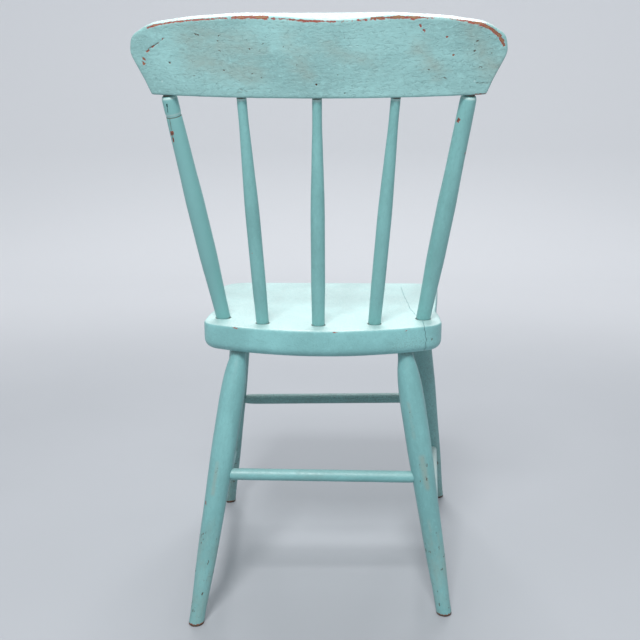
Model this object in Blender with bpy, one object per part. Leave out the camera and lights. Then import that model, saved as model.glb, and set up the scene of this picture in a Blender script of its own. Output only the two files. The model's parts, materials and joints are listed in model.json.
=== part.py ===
"""Old painted kitchen chair: a plank seat on four turned legs, with two stiles
and three spindles that carry one bent crest rail.

+Z is up, the sitter faces -Y, and +X is the sitter's left. The origin is on
the floor, under the middle of the box that the chair fills. Sizes in metres.
"""
from math import atan2, ceil, cos, pi, radians, sin, tan

import bmesh
import bpy
from mathutils import Matrix, Vector

# Gap all round between a tenon and its socket, and at the socket's end
FIT = 0.0003
# How far a cutter reaches past the surface that it opens
CUT_PAST = 0.012
LEFT, RIGHT = 1, -1

# Seat plank: its outline's points are set in from its ears and its rear edge
SEAT_TOP = 0.430
SEAT_THICK = 0.0385
SEAT_BACK_Y = 0.1805
SEAT_FRONT_Y = -0.181
SEAT_EAR_HALF = 0.1692
SEAT_EAR_BACK_IN = 0.0465
SEAT_EAR_FRONT_IN = 0.1055
SEAT_COVE_IN = 0.0032
SEAT_COVE_FORWARD = 0.1335
SEAT_FRONT_FLARE = 0.0198
SEAT_BACK_BEND_IN = 0.0942
SEAT_BACK_BEND_RADIUS = 0.300
SEAT_EAR_RADIUS = 0.030
SEAT_COVE_RADIUS = 0.028
SEAT_CORNER_RADIUS = 0.040
SEAT_TOP_EDGE = 0.0025
SEAT_TOP_EDGE_FACETS = 2
SEAT_UNDER_EDGE = 0.0125
SEAT_UNDER_EDGE_FACETS = 4
DISH_DEPTH = 0.006
DISH_HALF_WIDTH = 0.130
DISH_HALF_LENGTH = 0.115
DISH_MIDDLE_Y = -0.035
DISH_RINGS = 5
DISH_PAST_RIM = 1.06

# Split in the plank, as (inwards, back) from the foot of the right stile: it runs
# right through from the rear edge to the stile, and on along the grain as a check
SPLIT_WIDTH = 0.0012
SPLIT_TIP_WIDTH = 0.0005
SPLIT_CHECK_DEPTH = 0.006
SPLIT_REAR = ((0.0010, 0.0700), (0.0017, 0.0456), (0.0053, 0.0149), (0.0040, 0.0040))
SPLIT_CHECK = (
    (0.0070, -0.0040), (0.0094, -0.0107), (0.0138, -0.0374),
    (0.0164, -0.0725), (0.0194, -0.1737), (0.0214, -0.2300),
)

# Crest rail, measured in its own plane: up from the middle of its bottom edge.
# Its outline's points are set in from its widest point and down from its top.
CREST_ABOVE_SEAT = 0.305
CREST_BEHIND_SEAT = 0.0375
CREST_LEAN = radians(17.4)
CREST_TILT = radians(0.37)
CREST_THICK = 0.0213
CREST_HEIGHT = 0.0972
CREST_BEND_RADIUS = 1.18
CREST_HALF_WIDTH = 0.2295
CREST_CROWN_IN = 0.1345
CREST_CROWN_RADIUS = 0.300
CREST_BROW_IN = 0.0745
CREST_BROW_DROP = 0.0050
CREST_BROW_RADIUS = 0.200
CREST_SHOULDER_IN = 0.0255
CREST_SHOULDER_DROP = 0.0130
CREST_SHOULDER_RADIUS = 0.045
CREST_END_IN = 0.0040
CREST_END_DROP = 0.0265
CREST_END_RADIUS = 0.018
CREST_WIDEST_HEIGHT = 0.0505
CREST_WIDEST_RADIUS = 0.022
CREST_HOLLOW_IN = 0.0157
CREST_HOLLOW_HEIGHT = 0.018
CREST_HOLLOW_RADIUS = 0.050
CREST_FOOT_IN = 0.0230
CREST_FOOT_RADIUS = 0.0025
CREST_ARRIS = 0.0024
CREST_BEND_STEP = 0.0165
HAND_WEAR_DEPTH = 0.0045
HAND_WEAR_HALF = 0.075
HAND_WEAR_X = -0.020
HAND_WEAR_BAND = 0.010

# Stiles: the two thick outer posts, set in from the seat's ears and the crest's ends
STILE_SEAT_IN = 0.0252
STILE_SEAT_FORWARD = 0.0801
STILE_CREST_IN = 0.0415
STILE_SEAT_X = SEAT_EAR_HALF - STILE_SEAT_IN
STILE_SEAT_Y = SEAT_BACK_Y - STILE_SEAT_FORWARD
STILE_CREST_X = CREST_HALF_WIDTH - STILE_CREST_IN
STILE_SEAT_RADIUS = 0.0102
STILE_BELLY_RADIUS = 0.0124
STILE_NECK_RADIUS = 0.0099
STILE_HEAD_RADIUS = 0.0101
STILE_RING_RADIUS = 0.0092
STILE_LOWER_SHARE = 0.18
STILE_BELLY_SHARES = (0.32, 0.52)
STILE_UPPER_SHARE = 0.70
STILE_RING_BELOW_CREST = 0.027
STILE_RING_HALF = 0.0015
STILE_TENON_RADIUS = 0.0066
STILE_SHOULDER_GAP = 0.0020
STILE_SHOULDER_ROUND = 0.0022
# Straight stretch of each post above the seat, before it swells
POST_COLLAR = 0.002

# Spindles: the three thin inner ones, each as it was bored by hand. Feet and heads
# are set in from the stiles, and the feet forward from the seat's rear edge.
SPINDLE_LEFT_FOOT_IN = 0.0610
SPINDLE_RIGHT_FOOT_IN = 0.0700
SPINDLE_CENTRE_FOOT_X = 0.0040
SPINDLE_FOOT_FORWARD = 0.0470
SPINDLE_CENTRE_FOOT_FORWARD = 0.0371
SPINDLE_LEFT_HEAD_IN = 0.0940
SPINDLE_RIGHT_HEAD_IN = 0.0912
SPINDLE_FOOT_RADIUS = 0.0089
SPINDLE_BELLY_RADIUS = 0.0095
SPINDLE_UPPER_RADIUS = 0.0074
SPINDLE_HEAD_RADIUS = 0.0061
SPINDLE_BELLY_SHARES = (0.20, 0.48)
SPINDLE_UPPER_SHARE = 0.76
SPINDLE_HEAD_SHARE = 0.92

# Depth of the blind sockets
SEAT_SOCKET = 0.024
CREST_SOCKET = 0.030
PAST_LEG_AXIS = 0.003

# Legs: each top is set in from the seat's edges, and its foot splays out from there
LEG_REAR_IN = 0.0522
LEG_REAR_FORWARD = 0.0460
LEG_FRONT_IN = 0.0380
LEG_FRONT_BACK = 0.0440
LEG_REAR_SPLAY = 0.0630
LEG_REAR_LEFT_RAKE = 0.0695
LEG_REAR_RIGHT_RAKE = 0.0285
LEG_FRONT_LEFT_SPLAY = 0.0440
LEG_FRONT_RIGHT_SPLAY = 0.0530
LEG_FRONT_LEFT_RAKE = 0.0710
LEG_FRONT_RIGHT_RAKE = 0.1079
LEG_NECK_RADIUS = 0.0105
LEG_BELLY_RADIUS = 0.0176
LEG_KNEE_RADIUS = 0.0158
LEG_SHIN_RADIUS = 0.0142
LEG_FOOT_RADIUS = 0.0109
LEG_NECK_LENGTH = 0.004
LEG_BELLY_BELOW_SEAT = 0.075
# From neck to belly: (share of the way, share of the swelling)
LEG_SWELLING = ((0.35, 0.55), (0.65, 0.87))
# From belly to floor, as shares of the way
LEG_BELLY_END_SHARE = 0.18
LEG_KNEE_SHARE = 0.44
LEG_SHIN_SHARE = 0.68
FOOT_EDGE = 0.0012

# Stretchers
REAR_STRETCHER_LEFT_Z = 0.2152
REAR_STRETCHER_RIGHT_Z = 0.2075
FRONT_STRETCHER_LEFT_Z = 0.2170
FRONT_STRETCHER_RIGHT_Z = 0.2185
SIDE_STRETCHER_Z = 0.1116
STRETCHER_TENON_RADIUS = 0.0062
REAR_STRETCHER_RADIUS = 0.0084
FRONT_STRETCHER_RADIUS = 0.0090
SIDE_STRETCHER_RADIUS = 0.0084
STRETCHER_SHOULDER_GAP = 0.0020
STRETCHER_ROUND = 0.0050
FRONT_STRETCHER_TAPER = 0.022
# A stretcher's end swells fast: (share of the taper, share of the swelling)
STRETCHER_SWELLING = (0.4, 0.75)

# Brads that pin the tenons
BRAD_RADIUS = 0.0009
BRAD_HEAD_RADIUS = 0.0014
BRAD_HEAD_THICK = 0.0008
BRAD_LENGTH = 0.014
BRAD_CREST_HEIGHT = 0.018
BRAD_LEG_LENGTH = 0.020
BRAD_INWARD = 0.005

# Longest step of an arc in an outline, and the facets round each turned piece
ARC_TURN = radians(11)
ARC_LENGTH = 0.020
POST_SIDES = 24
SPINDLE_SIDES = 20
STRETCHER_SIDES = 16
BRAD_SIDES = 10
DISH_SIDES = 48
BEVEL_ROUND = 0.5
# Edges that turn more than this stay sharp, and a board's rim turns more than the second
SHARP_TURN = radians(38)
RIM_TURN = radians(60)
# Points closer than this are one
SAME_POINT = 1e-6

PAINT = {"turquoise": (0.28, 0.53, 0.54, 1.0), "old_steel": (0.16, 0.13, 0.11, 1.0)}


def clear_scene():
    for thing in list(bpy.data.objects):
        bpy.data.objects.remove(thing, do_unlink=True)


def material(name, roughness, metallic):
    made = bpy.data.materials.new(name)
    made.use_nodes = True
    shader = made.node_tree.nodes["Principled BSDF"]
    shader.inputs["Base Color"].default_value = PAINT[name]
    shader.inputs["Roughness"].default_value = roughness
    shader.inputs["Metallic"].default_value = metallic
    return made


def new_object(name, mesh_bm, finish):
    """Make an object from a bmesh, with its faces turned outwards."""
    bmesh.ops.recalc_face_normals(mesh_bm, faces=mesh_bm.faces)
    mesh = bpy.data.meshes.new(name)
    mesh_bm.to_mesh(mesh)
    mesh_bm.free()
    if finish:
        mesh.materials.append(finish)
    made = bpy.data.objects.new(name, mesh)
    bpy.context.scene.collection.objects.link(made)
    return made


def smooth(piece):
    piece.data.shade_smooth()
    piece.data.set_sharp_from_angle(angle=SHARP_TURN)


def hide_cutter(cutter):
    cutter.hide_render = True
    cutter.display_type = "WIRE"


def cut(target, cutters):
    """Take a list of cutters out of a piece, one exact Boolean each."""
    for cutter in cutters:
        hide_cutter(cutter)
        modifier = target.modifiers.new(cutter.name, "BOOLEAN")
        modifier.operation = "DIFFERENCE"
        modifier.solver = "EXACT"
        modifier.object = cutter


def fillet(corner, before, after, radius):
    """Points of the arc that rounds one corner of an outline."""
    into = (corner - before).normalized()
    out = (after - corner).normalized()
    turn = into.angle_signed(out)
    reach = radius * tan(abs(turn) / 2)
    start = corner - into * reach
    side = Vector((into.y, -into.x)) if turn > 0 else Vector((-into.y, into.x))
    centre = start + side * radius
    steps = max(ceil(abs(turn) / ARC_TURN), ceil(abs(turn) * radius / ARC_LENGTH))
    arm = start - centre
    points = []
    for step in range(steps + 1):
        angle = -turn * step / steps
        points.append(centre + Matrix.Rotation(angle, 2) @ arm)
    return points


def rounded_outline(corners):
    """Closed outline from corners given as (x, y, radius)."""
    points = []
    spots = [Vector(corner[:2]) for corner in corners]
    for index, (_, _, radius) in enumerate(corners):
        before = spots[index - 1]
        after = spots[(index + 1) % len(spots)]
        points += fillet(spots[index], before, after, radius)
    return points


def mirrored(half):
    """Whole ring of corners from the ones on the left side, in order."""
    return list(half) + [(-x, y, radius) for x, y, radius in reversed(half)]


def extruded(points, depth, to_3d):
    """Prism of an outline: to_3d places each point, depth is its extrusion."""
    body = bmesh.new()
    ring = [body.verts.new(to_3d(point)) for point in points]
    face = body.faces.new(ring)
    moved = bmesh.ops.extrude_face_region(body, geom=[face])["geom"]
    verts = [item for item in moved if isinstance(item, bmesh.types.BMVert)]
    bmesh.ops.translate(body, verts=verts, vec=depth)
    return body


def turned(name, start, end, profile, sides, finish):
    """Piece turned on a lathe: profile holds (distance from start, radius)."""
    start, end = Vector(start), Vector(end)
    body = bmesh.new()
    first = [Vector((0.0, 0.0, profile[0][0]))]
    last = [Vector((0.0, 0.0, profile[-1][0]))]
    line = first + [Vector((radius, 0.0, along)) for along, radius in profile] + last
    verts = [body.verts.new(point) for point in line]
    edges = [body.edges.new(pair) for pair in zip(verts, verts[1:])]
    bmesh.ops.spin(
        body, geom=verts + edges, axis=(0, 0, 1), cent=(0, 0, 0),
        angle=2 * pi, steps=sides, use_merge=True,
    )
    bmesh.ops.remove_doubles(body, verts=body.verts, dist=SAME_POINT)
    made = new_object(name, body, finish)
    made.rotation_mode = "QUATERNION"
    made.rotation_quaternion = (end - start).to_track_quat("Z", "Y")
    made.location = start
    smooth(made)
    return made


def drilled(name, start, end, radius, sides):
    """Round cutter from start to end."""
    length = (Vector(end) - Vector(start)).length
    return turned(name, start, end, [(0.0, radius), (length, radius)], sides, None)


def crest_matrix():
    place = Matrix.Translation((0.0, SEAT_BACK_Y + CREST_BEHIND_SEAT, SEAT_TOP + CREST_ABOVE_SEAT))
    lean = Matrix.Rotation(-CREST_LEAN, 4, "X")
    tilt = Matrix.Rotation(-CREST_TILT, 4, "Y")
    return place @ tilt @ lean


def bent(along, out, up):
    """Point of the flat crest board after it is bent round the sitter's back."""
    angle = along / CREST_BEND_RADIUS
    reach = CREST_BEND_RADIUS + out
    return Vector((reach * sin(angle), reach * cos(angle) - CREST_BEND_RADIUS, up))


def crest_point(along, out, up):
    return crest_matrix() @ bent(along, out, up)


def between(start, end, distance):
    """Point on the line from start to end, at a distance from start."""
    start, end = Vector(start), Vector(end)
    return start + (end - start).normalized() * distance


def stile_line(side):
    """Seat end and crest end of a stile's axis, at the two surfaces."""
    foot = Vector((side * STILE_SEAT_X, STILE_SEAT_Y, SEAT_TOP))
    return foot, crest_point(side * STILE_CREST_X, 0.0, 0.0)


def spindle_line(which):
    """Seat end and crest end of a spindle's axis, at the two surfaces."""
    side_foot_y = SEAT_BACK_Y - SPINDLE_FOOT_FORWARD
    spots = {
        "left": (STILE_SEAT_X - SPINDLE_LEFT_FOOT_IN, side_foot_y, STILE_CREST_X - SPINDLE_LEFT_HEAD_IN),
        "centre": (SPINDLE_CENTRE_FOOT_X, SEAT_BACK_Y - SPINDLE_CENTRE_FOOT_FORWARD, 0.0),
        "right": (SPINDLE_RIGHT_FOOT_IN - STILE_SEAT_X, side_foot_y, SPINDLE_RIGHT_HEAD_IN - STILE_CREST_X),
    }
    foot_x, foot_y, head_x = spots[which]
    return Vector((foot_x, foot_y, SEAT_TOP)), crest_point(head_x, 0.0, 0.0)


def leg_line(end, side):
    """Top end, at the seat's underside, and floor end of a leg's axis."""
    rear_x = SEAT_EAR_HALF - LEG_REAR_IN
    rear_y = SEAT_BACK_Y - LEG_REAR_FORWARD
    front_x = SEAT_EAR_HALF + SEAT_FRONT_FLARE - LEG_FRONT_IN
    front_y = SEAT_FRONT_Y + LEG_FRONT_BACK
    lines = {
        ("rear", LEFT): (rear_x, rear_y, LEG_REAR_SPLAY, LEG_REAR_LEFT_RAKE),
        ("rear", RIGHT): (rear_x, rear_y, LEG_REAR_SPLAY, LEG_REAR_RIGHT_RAKE),
        ("front", LEFT): (front_x, front_y, LEG_FRONT_LEFT_SPLAY, -LEG_FRONT_LEFT_RAKE),
        ("front", RIGHT): (front_x, front_y, LEG_FRONT_RIGHT_SPLAY, -LEG_FRONT_RIGHT_RAKE),
    }
    x, y, out, back = lines[end, side]
    top = Vector((side * x, y, SEAT_TOP - SEAT_THICK))
    return top, Vector((side * (x + out), y + back, 0.0))


def leg_at(end, side, height):
    top, foot = leg_line(end, side)
    return foot.lerp(top, height / top.z)


def leg_profile(length):
    """(Distance below the seat's underside, radius) along a leg."""
    middle = LEG_BELLY_BELOW_SEAT
    below = length - middle
    swell = LEG_BELLY_RADIUS - LEG_NECK_RADIUS
    profile = [(-SEAT_SOCKET, LEG_NECK_RADIUS), (LEG_NECK_LENGTH, LEG_NECK_RADIUS)]
    profile += [(middle * way, LEG_NECK_RADIUS + swell * share) for way, share in LEG_SWELLING]
    profile += [
        (middle, LEG_BELLY_RADIUS),
        (middle + below * LEG_BELLY_END_SHARE, LEG_BELLY_RADIUS),
        (middle + below * LEG_KNEE_SHARE, LEG_KNEE_RADIUS),
        (middle + below * LEG_SHIN_SHARE, LEG_SHIN_RADIUS),
        (length, LEG_FOOT_RADIUS),
        (length + CUT_PAST, LEG_FOOT_RADIUS),
    ]
    return profile


def leg_radius(end, side, height):
    """Radius of a leg where its axis is at a height over the floor."""
    top, foot = leg_line(end, side)
    profile = leg_profile((foot - top).length)
    distance = (leg_at(end, side, height) - top).length
    for (near, thick), (far, thin) in zip(profile, profile[1:]):
        if near <= distance <= far:
            return thick + (thin - thick) * (distance - near) / (far - near)
    return LEG_FOOT_RADIUS


def stile_profile(length):
    """(Distance above the seat, radius) along a stile."""
    ring = length - STILE_RING_BELOW_CREST
    shoulder = length - STILE_SHOULDER_GAP
    belly_start, belly_end = STILE_BELLY_SHARES
    return [
        (-SEAT_SOCKET, STILE_SEAT_RADIUS),
        (POST_COLLAR, STILE_SEAT_RADIUS),
        (length * STILE_LOWER_SHARE, (STILE_SEAT_RADIUS + STILE_BELLY_RADIUS) / 2),
        (length * belly_start, STILE_BELLY_RADIUS),
        (length * belly_end, STILE_BELLY_RADIUS),
        (length * STILE_UPPER_SHARE, (STILE_NECK_RADIUS + STILE_BELLY_RADIUS) / 2),
        (ring - STILE_RING_HALF, STILE_NECK_RADIUS),
        (ring, STILE_RING_RADIUS),
        (ring + STILE_RING_HALF, STILE_HEAD_RADIUS),
        (shoulder - STILE_SHOULDER_ROUND, STILE_HEAD_RADIUS),
        (shoulder, STILE_HEAD_RADIUS - STILE_SHOULDER_ROUND),
        (shoulder, STILE_TENON_RADIUS),
        (length + CREST_SOCKET, STILE_TENON_RADIUS),
    ]


def spindle_profile(length):
    """(Distance above the seat, radius) along a spindle."""
    belly_start, belly_end = SPINDLE_BELLY_SHARES
    return [
        (-SEAT_SOCKET, SPINDLE_FOOT_RADIUS),
        (POST_COLLAR, SPINDLE_FOOT_RADIUS),
        (length * belly_start, SPINDLE_BELLY_RADIUS),
        (length * belly_end, SPINDLE_BELLY_RADIUS),
        (length * SPINDLE_UPPER_SHARE, SPINDLE_UPPER_RADIUS),
        (length * SPINDLE_HEAD_SHARE, SPINDLE_HEAD_RADIUS),
        (length + CREST_SOCKET, SPINDLE_HEAD_RADIUS),
    ]


def stretcher_profile(length, near_leg, far_leg, radius, taper):
    """Stretcher from leg axis to leg axis, whose legs have the radii given."""
    near = near_leg + STRETCHER_SHOULDER_GAP
    far = length - far_leg - STRETCHER_SHOULDER_GAP
    way, share = STRETCHER_SWELLING
    soft = STRETCHER_TENON_RADIUS + (radius - STRETCHER_TENON_RADIUS) * share
    return [
        (-PAST_LEG_AXIS, STRETCHER_TENON_RADIUS),
        (near, STRETCHER_TENON_RADIUS),
        (near + taper * way, soft),
        (near + taper, radius),
        (far - taper, radius),
        (far - taper * way, soft),
        (far, STRETCHER_TENON_RADIUS),
        (length + PAST_LEG_AXIS, STRETCHER_TENON_RADIUS),
    ]


def stretcher_ends(name):
    """The two leg ends of a stretcher, each as (rear or front, side, height)."""
    ends = {
        "stretcher_rear": [("rear", LEFT, REAR_STRETCHER_LEFT_Z), ("rear", RIGHT, REAR_STRETCHER_RIGHT_Z)],
        "stretcher_front": [
            ("front", LEFT, FRONT_STRETCHER_LEFT_Z), ("front", RIGHT, FRONT_STRETCHER_RIGHT_Z),
        ],
        "stretcher_left": [("rear", LEFT, SIDE_STRETCHER_Z), ("front", LEFT, SIDE_STRETCHER_Z)],
        "stretcher_right": [("rear", RIGHT, SIDE_STRETCHER_Z), ("front", RIGHT, SIDE_STRETCHER_Z)],
    }
    return ends[name]


STRETCHERS = {
    "stretcher_rear": (REAR_STRETCHER_RADIUS, STRETCHER_ROUND),
    "stretcher_front": (FRONT_STRETCHER_RADIUS, FRONT_STRETCHER_TAPER),
    "stretcher_left": (SIDE_STRETCHER_RADIUS, STRETCHER_ROUND),
    "stretcher_right": (SIDE_STRETCHER_RADIUS, STRETCHER_ROUND),
}
LEGS = [("rear", LEFT), ("rear", RIGHT), ("front", LEFT), ("front", RIGHT)]
SIDE_NAMES = {LEFT: "left", RIGHT: "right"}
SPINDLES = ["left", "centre", "right"]


def seat_outline():
    """Outline of the seat in plan, as (across, back)."""
    wide, back = SEAT_EAR_HALF, SEAT_BACK_Y
    half = [
        (wide - SEAT_BACK_BEND_IN, back, SEAT_BACK_BEND_RADIUS),
        (wide, back - SEAT_EAR_BACK_IN, SEAT_EAR_RADIUS),
        (wide, back - SEAT_EAR_FRONT_IN, SEAT_COVE_RADIUS),
        (wide - SEAT_COVE_IN, back - SEAT_COVE_FORWARD, SEAT_COVE_RADIUS),
        (wide + SEAT_FRONT_FLARE, SEAT_FRONT_Y, SEAT_CORNER_RADIUS),
    ]
    return rounded_outline(mirrored(half))


def bevel_rim(body, height, amount, segments):
    """Round the flat rim of a plank at one height."""
    rim = [
        edge for edge in body.edges
        if all(abs(vert.co.z - height) < SAME_POINT for vert in edge.verts)
    ]
    bmesh.ops.bevel(body, geom=rim, offset=amount, segments=segments, affect="EDGES", profile=BEVEL_ROUND)


def seat_plank(finish):
    under = SEAT_TOP - SEAT_THICK
    body = extruded(
        seat_outline(), Vector((0, 0, SEAT_THICK)), lambda p: Vector((p.x, p.y, under))
    )
    bevel_rim(body, SEAT_TOP, SEAT_TOP_EDGE, SEAT_TOP_EDGE_FACETS)
    bevel_rim(body, under, SEAT_UNDER_EDGE, SEAT_UNDER_EDGE_FACETS)
    return new_object("seat", body, finish)


def dish_cutter():
    """Shallow bowl that hollows the seat: a cap of a large ball, flattened."""
    ball = (DISH_HALF_WIDTH ** 2 + DISH_DEPTH ** 2) / (2 * DISH_DEPTH)
    middle = SEAT_TOP - DISH_DEPTH + ball
    body = bmesh.new()
    line = [Vector((0.0, 0.0, middle - ball))]
    for ring in range(1, DISH_RINGS + 1):
        out = DISH_HALF_WIDTH * DISH_PAST_RIM * ring / DISH_RINGS
        line.append(Vector((out, 0.0, middle - (ball ** 2 - out ** 2) ** 0.5)))
    line.append(Vector((line[-1].x, 0.0, SEAT_TOP + CUT_PAST)))
    line.append(Vector((0.0, 0.0, SEAT_TOP + CUT_PAST)))
    verts = [body.verts.new(point) for point in line]
    edges = [body.edges.new(pair) for pair in zip(verts, verts[1:])]
    bmesh.ops.spin(
        body, geom=verts + edges, axis=(0, 0, 1), cent=(0, 0, 0),
        angle=2 * pi, steps=DISH_SIDES, use_merge=True,
    )
    bmesh.ops.remove_doubles(body, verts=body.verts, dist=SAME_POINT)
    for vert in body.verts:
        vert.co.y = vert.co.y * DISH_HALF_LENGTH / DISH_HALF_WIDTH + DISH_MIDDLE_Y
    return new_object("dish_cutter", body, None)


def ribbon(name, path, end_width, low, high):
    """Upright slot along a path in plan, from the split's width to a width at its end."""
    spots = [Vector((inwards - STILE_SEAT_X, back + STILE_SEAT_Y)) for inwards, back in path]
    last = len(spots) - 1
    left, right = [], []
    for index, spot in enumerate(spots):
        ahead = spots[min(index + 1, last)] - spots[max(index - 1, 0)]
        width = SPLIT_WIDTH + (end_width - SPLIT_WIDTH) * index / last
        across = Vector((-ahead.y, ahead.x)).normalized() * width / 2
        left.append(spot + across)
        right.append(spot - across)
    outline = left + right[::-1]
    body = extruded(outline, Vector((0, 0, high - low)), lambda p: Vector((p.x, p.y, low)))
    return new_object(name, body, None)


def split_cutters():
    past = SEAT_TOP + CUT_PAST
    through = SEAT_TOP - SEAT_THICK - CUT_PAST
    rear = ribbon("split_rear", SPLIT_REAR, SPLIT_WIDTH, through, past)
    check = ribbon("split_check", SPLIT_CHECK, SPLIT_TIP_WIDTH, SEAT_TOP - SPLIT_CHECK_DEPTH, past)
    return [rear, check]


def post_lines(stile_radius, spindle_radius):
    """Name, axis and radius of the stiles and spindles, for their sockets."""
    posts = [(f"stile_{SIDE_NAMES[side]}", stile_line(side), stile_radius) for side in (LEFT, RIGHT)]
    posts += [(f"spindle_{which}", spindle_line(which), spindle_radius) for which in SPINDLES]
    return posts


def seat_sockets():
    """Blind sockets for the legs below, and for the stiles and spindles above."""
    sockets = []
    for end, side in LEGS:
        top, foot = leg_line(end, side)
        deep = between(top, foot, -SEAT_SOCKET - FIT)
        open_end = between(top, foot, CUT_PAST)
        name = f"leg_socket_{end}_{SIDE_NAMES[side]}"
        sockets.append(drilled(name, deep, open_end, LEG_NECK_RADIUS + FIT, POST_SIDES))
    for name, (foot, head), radius in post_lines(STILE_SEAT_RADIUS, SPINDLE_FOOT_RADIUS):
        deep = between(foot, head, -SEAT_SOCKET - FIT)
        mouth = between(foot, head, CUT_PAST)
        sockets.append(drilled(f"{name}_seat_socket", deep, mouth, radius + FIT, POST_SIDES))
    return sockets


def crest_outline():
    """Outline of the flat crest board, as (along, up)."""
    wide, top = CREST_HALF_WIDTH, CREST_HEIGHT
    half = [
        (wide - CREST_CROWN_IN, top, CREST_CROWN_RADIUS),
        (wide - CREST_BROW_IN, top - CREST_BROW_DROP, CREST_BROW_RADIUS),
        (wide - CREST_SHOULDER_IN, top - CREST_SHOULDER_DROP, CREST_SHOULDER_RADIUS),
        (wide - CREST_END_IN, top - CREST_END_DROP, CREST_END_RADIUS),
        (wide, CREST_WIDEST_HEIGHT, CREST_WIDEST_RADIUS),
        (wide - CREST_HOLLOW_IN, CREST_HOLLOW_HEIGHT, CREST_HOLLOW_RADIUS),
        (wide - CREST_FOOT_IN, 0.0, CREST_FOOT_RADIUS),
    ]
    return rounded_outline(mirrored(half))


def hand_worn(vert):
    """Press the rear top arris in where hands have pulled the chair about."""
    low = CREST_HEIGHT - HAND_WEAR_BAND
    if vert.y <= 0 or vert.z < low or abs(vert.x - HAND_WEAR_X) > HAND_WEAR_HALF:
        return
    swell = cos((vert.x - HAND_WEAR_X) / HAND_WEAR_HALF * pi / 2) ** 2
    vert.z -= HAND_WEAR_DEPTH * swell * (vert.z - low) / HAND_WEAR_BAND


def crest_board(finish):
    body = extruded(
        crest_outline(), Vector((0, CREST_THICK, 0)),
        lambda p: Vector((p.x, -CREST_THICK / 2, p.y)),
    )
    rim = [edge for edge in body.edges if edge.calc_face_angle() > RIM_TURN]
    bmesh.ops.bevel(body, geom=rim, offset=CREST_ARRIS, segments=2, affect="EDGES", profile=BEVEL_ROUND)
    cuts = ceil(CREST_HALF_WIDTH / CREST_BEND_STEP)
    for index in range(-cuts, cuts + 1):
        bmesh.ops.bisect_plane(
            body, geom=body.verts[:] + body.edges[:] + body.faces[:],
            plane_co=(index * CREST_BEND_STEP, 0, 0), plane_no=(1, 0, 0), dist=SAME_POINT,
        )
    for vert in body.verts:
        hand_worn(vert.co)
        vert.co = bent(*vert.co)
    board = new_object("crest_rail", body, finish)
    board.matrix_world = crest_matrix()
    smooth(board)
    return board


def crest_sockets():
    sockets = []
    for name, (foot, head), radius in post_lines(STILE_TENON_RADIUS, SPINDLE_HEAD_RADIUS):
        length = (head - foot).length
        deep = between(foot, head, length + CREST_SOCKET + FIT)
        start = between(foot, head, length - CUT_PAST)
        sockets.append(drilled(f"{name}_crest_socket", start, deep, radius + FIT, POST_SIDES))
    return sockets


def stile(side, finish):
    foot, head = stile_line(side)
    profile = stile_profile((head - foot).length)
    return turned(f"stile_{SIDE_NAMES[side]}", foot, head, profile, POST_SIDES, finish)


def spindle(which, finish):
    foot, head = spindle_line(which)
    profile = spindle_profile((head - foot).length)
    return turned(f"spindle_{which}", foot, head, profile, SPINDLE_SIDES, finish)


def cut_level(piece, height):
    """Saw a piece off at a height over the floor and break the edge there."""
    body = bmesh.new()
    body.from_mesh(piece.data)
    to_local = piece.matrix_world.inverted()
    down = to_local.to_3x3() @ Vector((0, 0, -1))
    bmesh.ops.bisect_plane(
        body, geom=body.verts[:] + body.edges[:] + body.faces[:],
        plane_co=to_local @ Vector((0, 0, height)), plane_no=down, clear_outer=True, dist=SAME_POINT,
    )
    sole = bmesh.ops.holes_fill(body, edges=[edge for edge in body.edges if edge.is_boundary])["faces"]
    rim = [edge for face in sole for edge in face.edges]
    bmesh.ops.bevel(body, geom=rim, offset=FOOT_EDGE, segments=1, affect="EDGES")
    bmesh.ops.recalc_face_normals(body, faces=body.faces)
    body.to_mesh(piece.data)
    body.free()


def leg(end, side, finish):
    top, foot = leg_line(end, side)
    name = f"leg_{end}_{SIDE_NAMES[side]}"
    made = turned(name, top, foot, leg_profile((foot - top).length), POST_SIDES, finish)
    bpy.context.view_layer.update()
    cut_level(made, 0.0)
    smooth(made)
    return made


def stretcher_axis(name):
    return [leg_at(*spot) for spot in stretcher_ends(name)]


def stretcher(name, finish):
    radius, taper = STRETCHERS[name]
    near, far = stretcher_axis(name)
    near_leg, far_leg = [leg_radius(*spot) for spot in stretcher_ends(name)]
    profile = stretcher_profile((far - near).length, near_leg, far_leg, radius, taper)
    return turned(name, near, far, profile, STRETCHER_SIDES, finish)


def leg_sockets(end, side):
    """Sockets of the stretchers that a leg carries."""
    sockets = []
    for name in STRETCHERS:
        for index, spot in enumerate(stretcher_ends(name)):
            if spot[:2] != (end, side):
                continue
            axis = stretcher_axis(name)
            here, there = axis[index], axis[1 - index]
            deep = between(here, there, -PAST_LEG_AXIS - FIT)
            mouth = between(here, there, leg_radius(*spot) + CUT_PAST)
            label = f"{name}_socket_{end}_{SIDE_NAMES[side]}"
            sockets.append(drilled(label, deep, mouth, STRETCHER_TENON_RADIUS + FIT, POST_SIDES))
    return sockets


def brad_spots():
    """Head centre, direction and length of each brad, by the piece it enters."""
    spots = {}
    for side in (LEFT, RIGHT):
        foot, head = stile_line(side)
        up_along = between(foot, head, (head - foot).length + BRAD_CREST_HEIGHT)
        spots[f"stile_{SIDE_NAMES[side]}"] = on_crest_back(up_along)
    foot, head = spindle_line("centre")
    up_along = between(foot, head, (head - foot).length + BRAD_CREST_HEIGHT)
    spots["spindle_centre"] = on_crest_back(up_along)
    return spots


def on_crest_back(inside):
    """Where a brad that crosses an inside point enters the crest's rear face."""
    local = crest_matrix().inverted() @ inside
    along = atan2(local.x, local.y + CREST_BEND_RADIUS) * CREST_BEND_RADIUS
    outer = crest_point(along, CREST_THICK / 2, local.z)
    inner = crest_point(along, 0.0, local.z)
    return outer, (inner - outer).normalized(), BRAD_LENGTH


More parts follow.
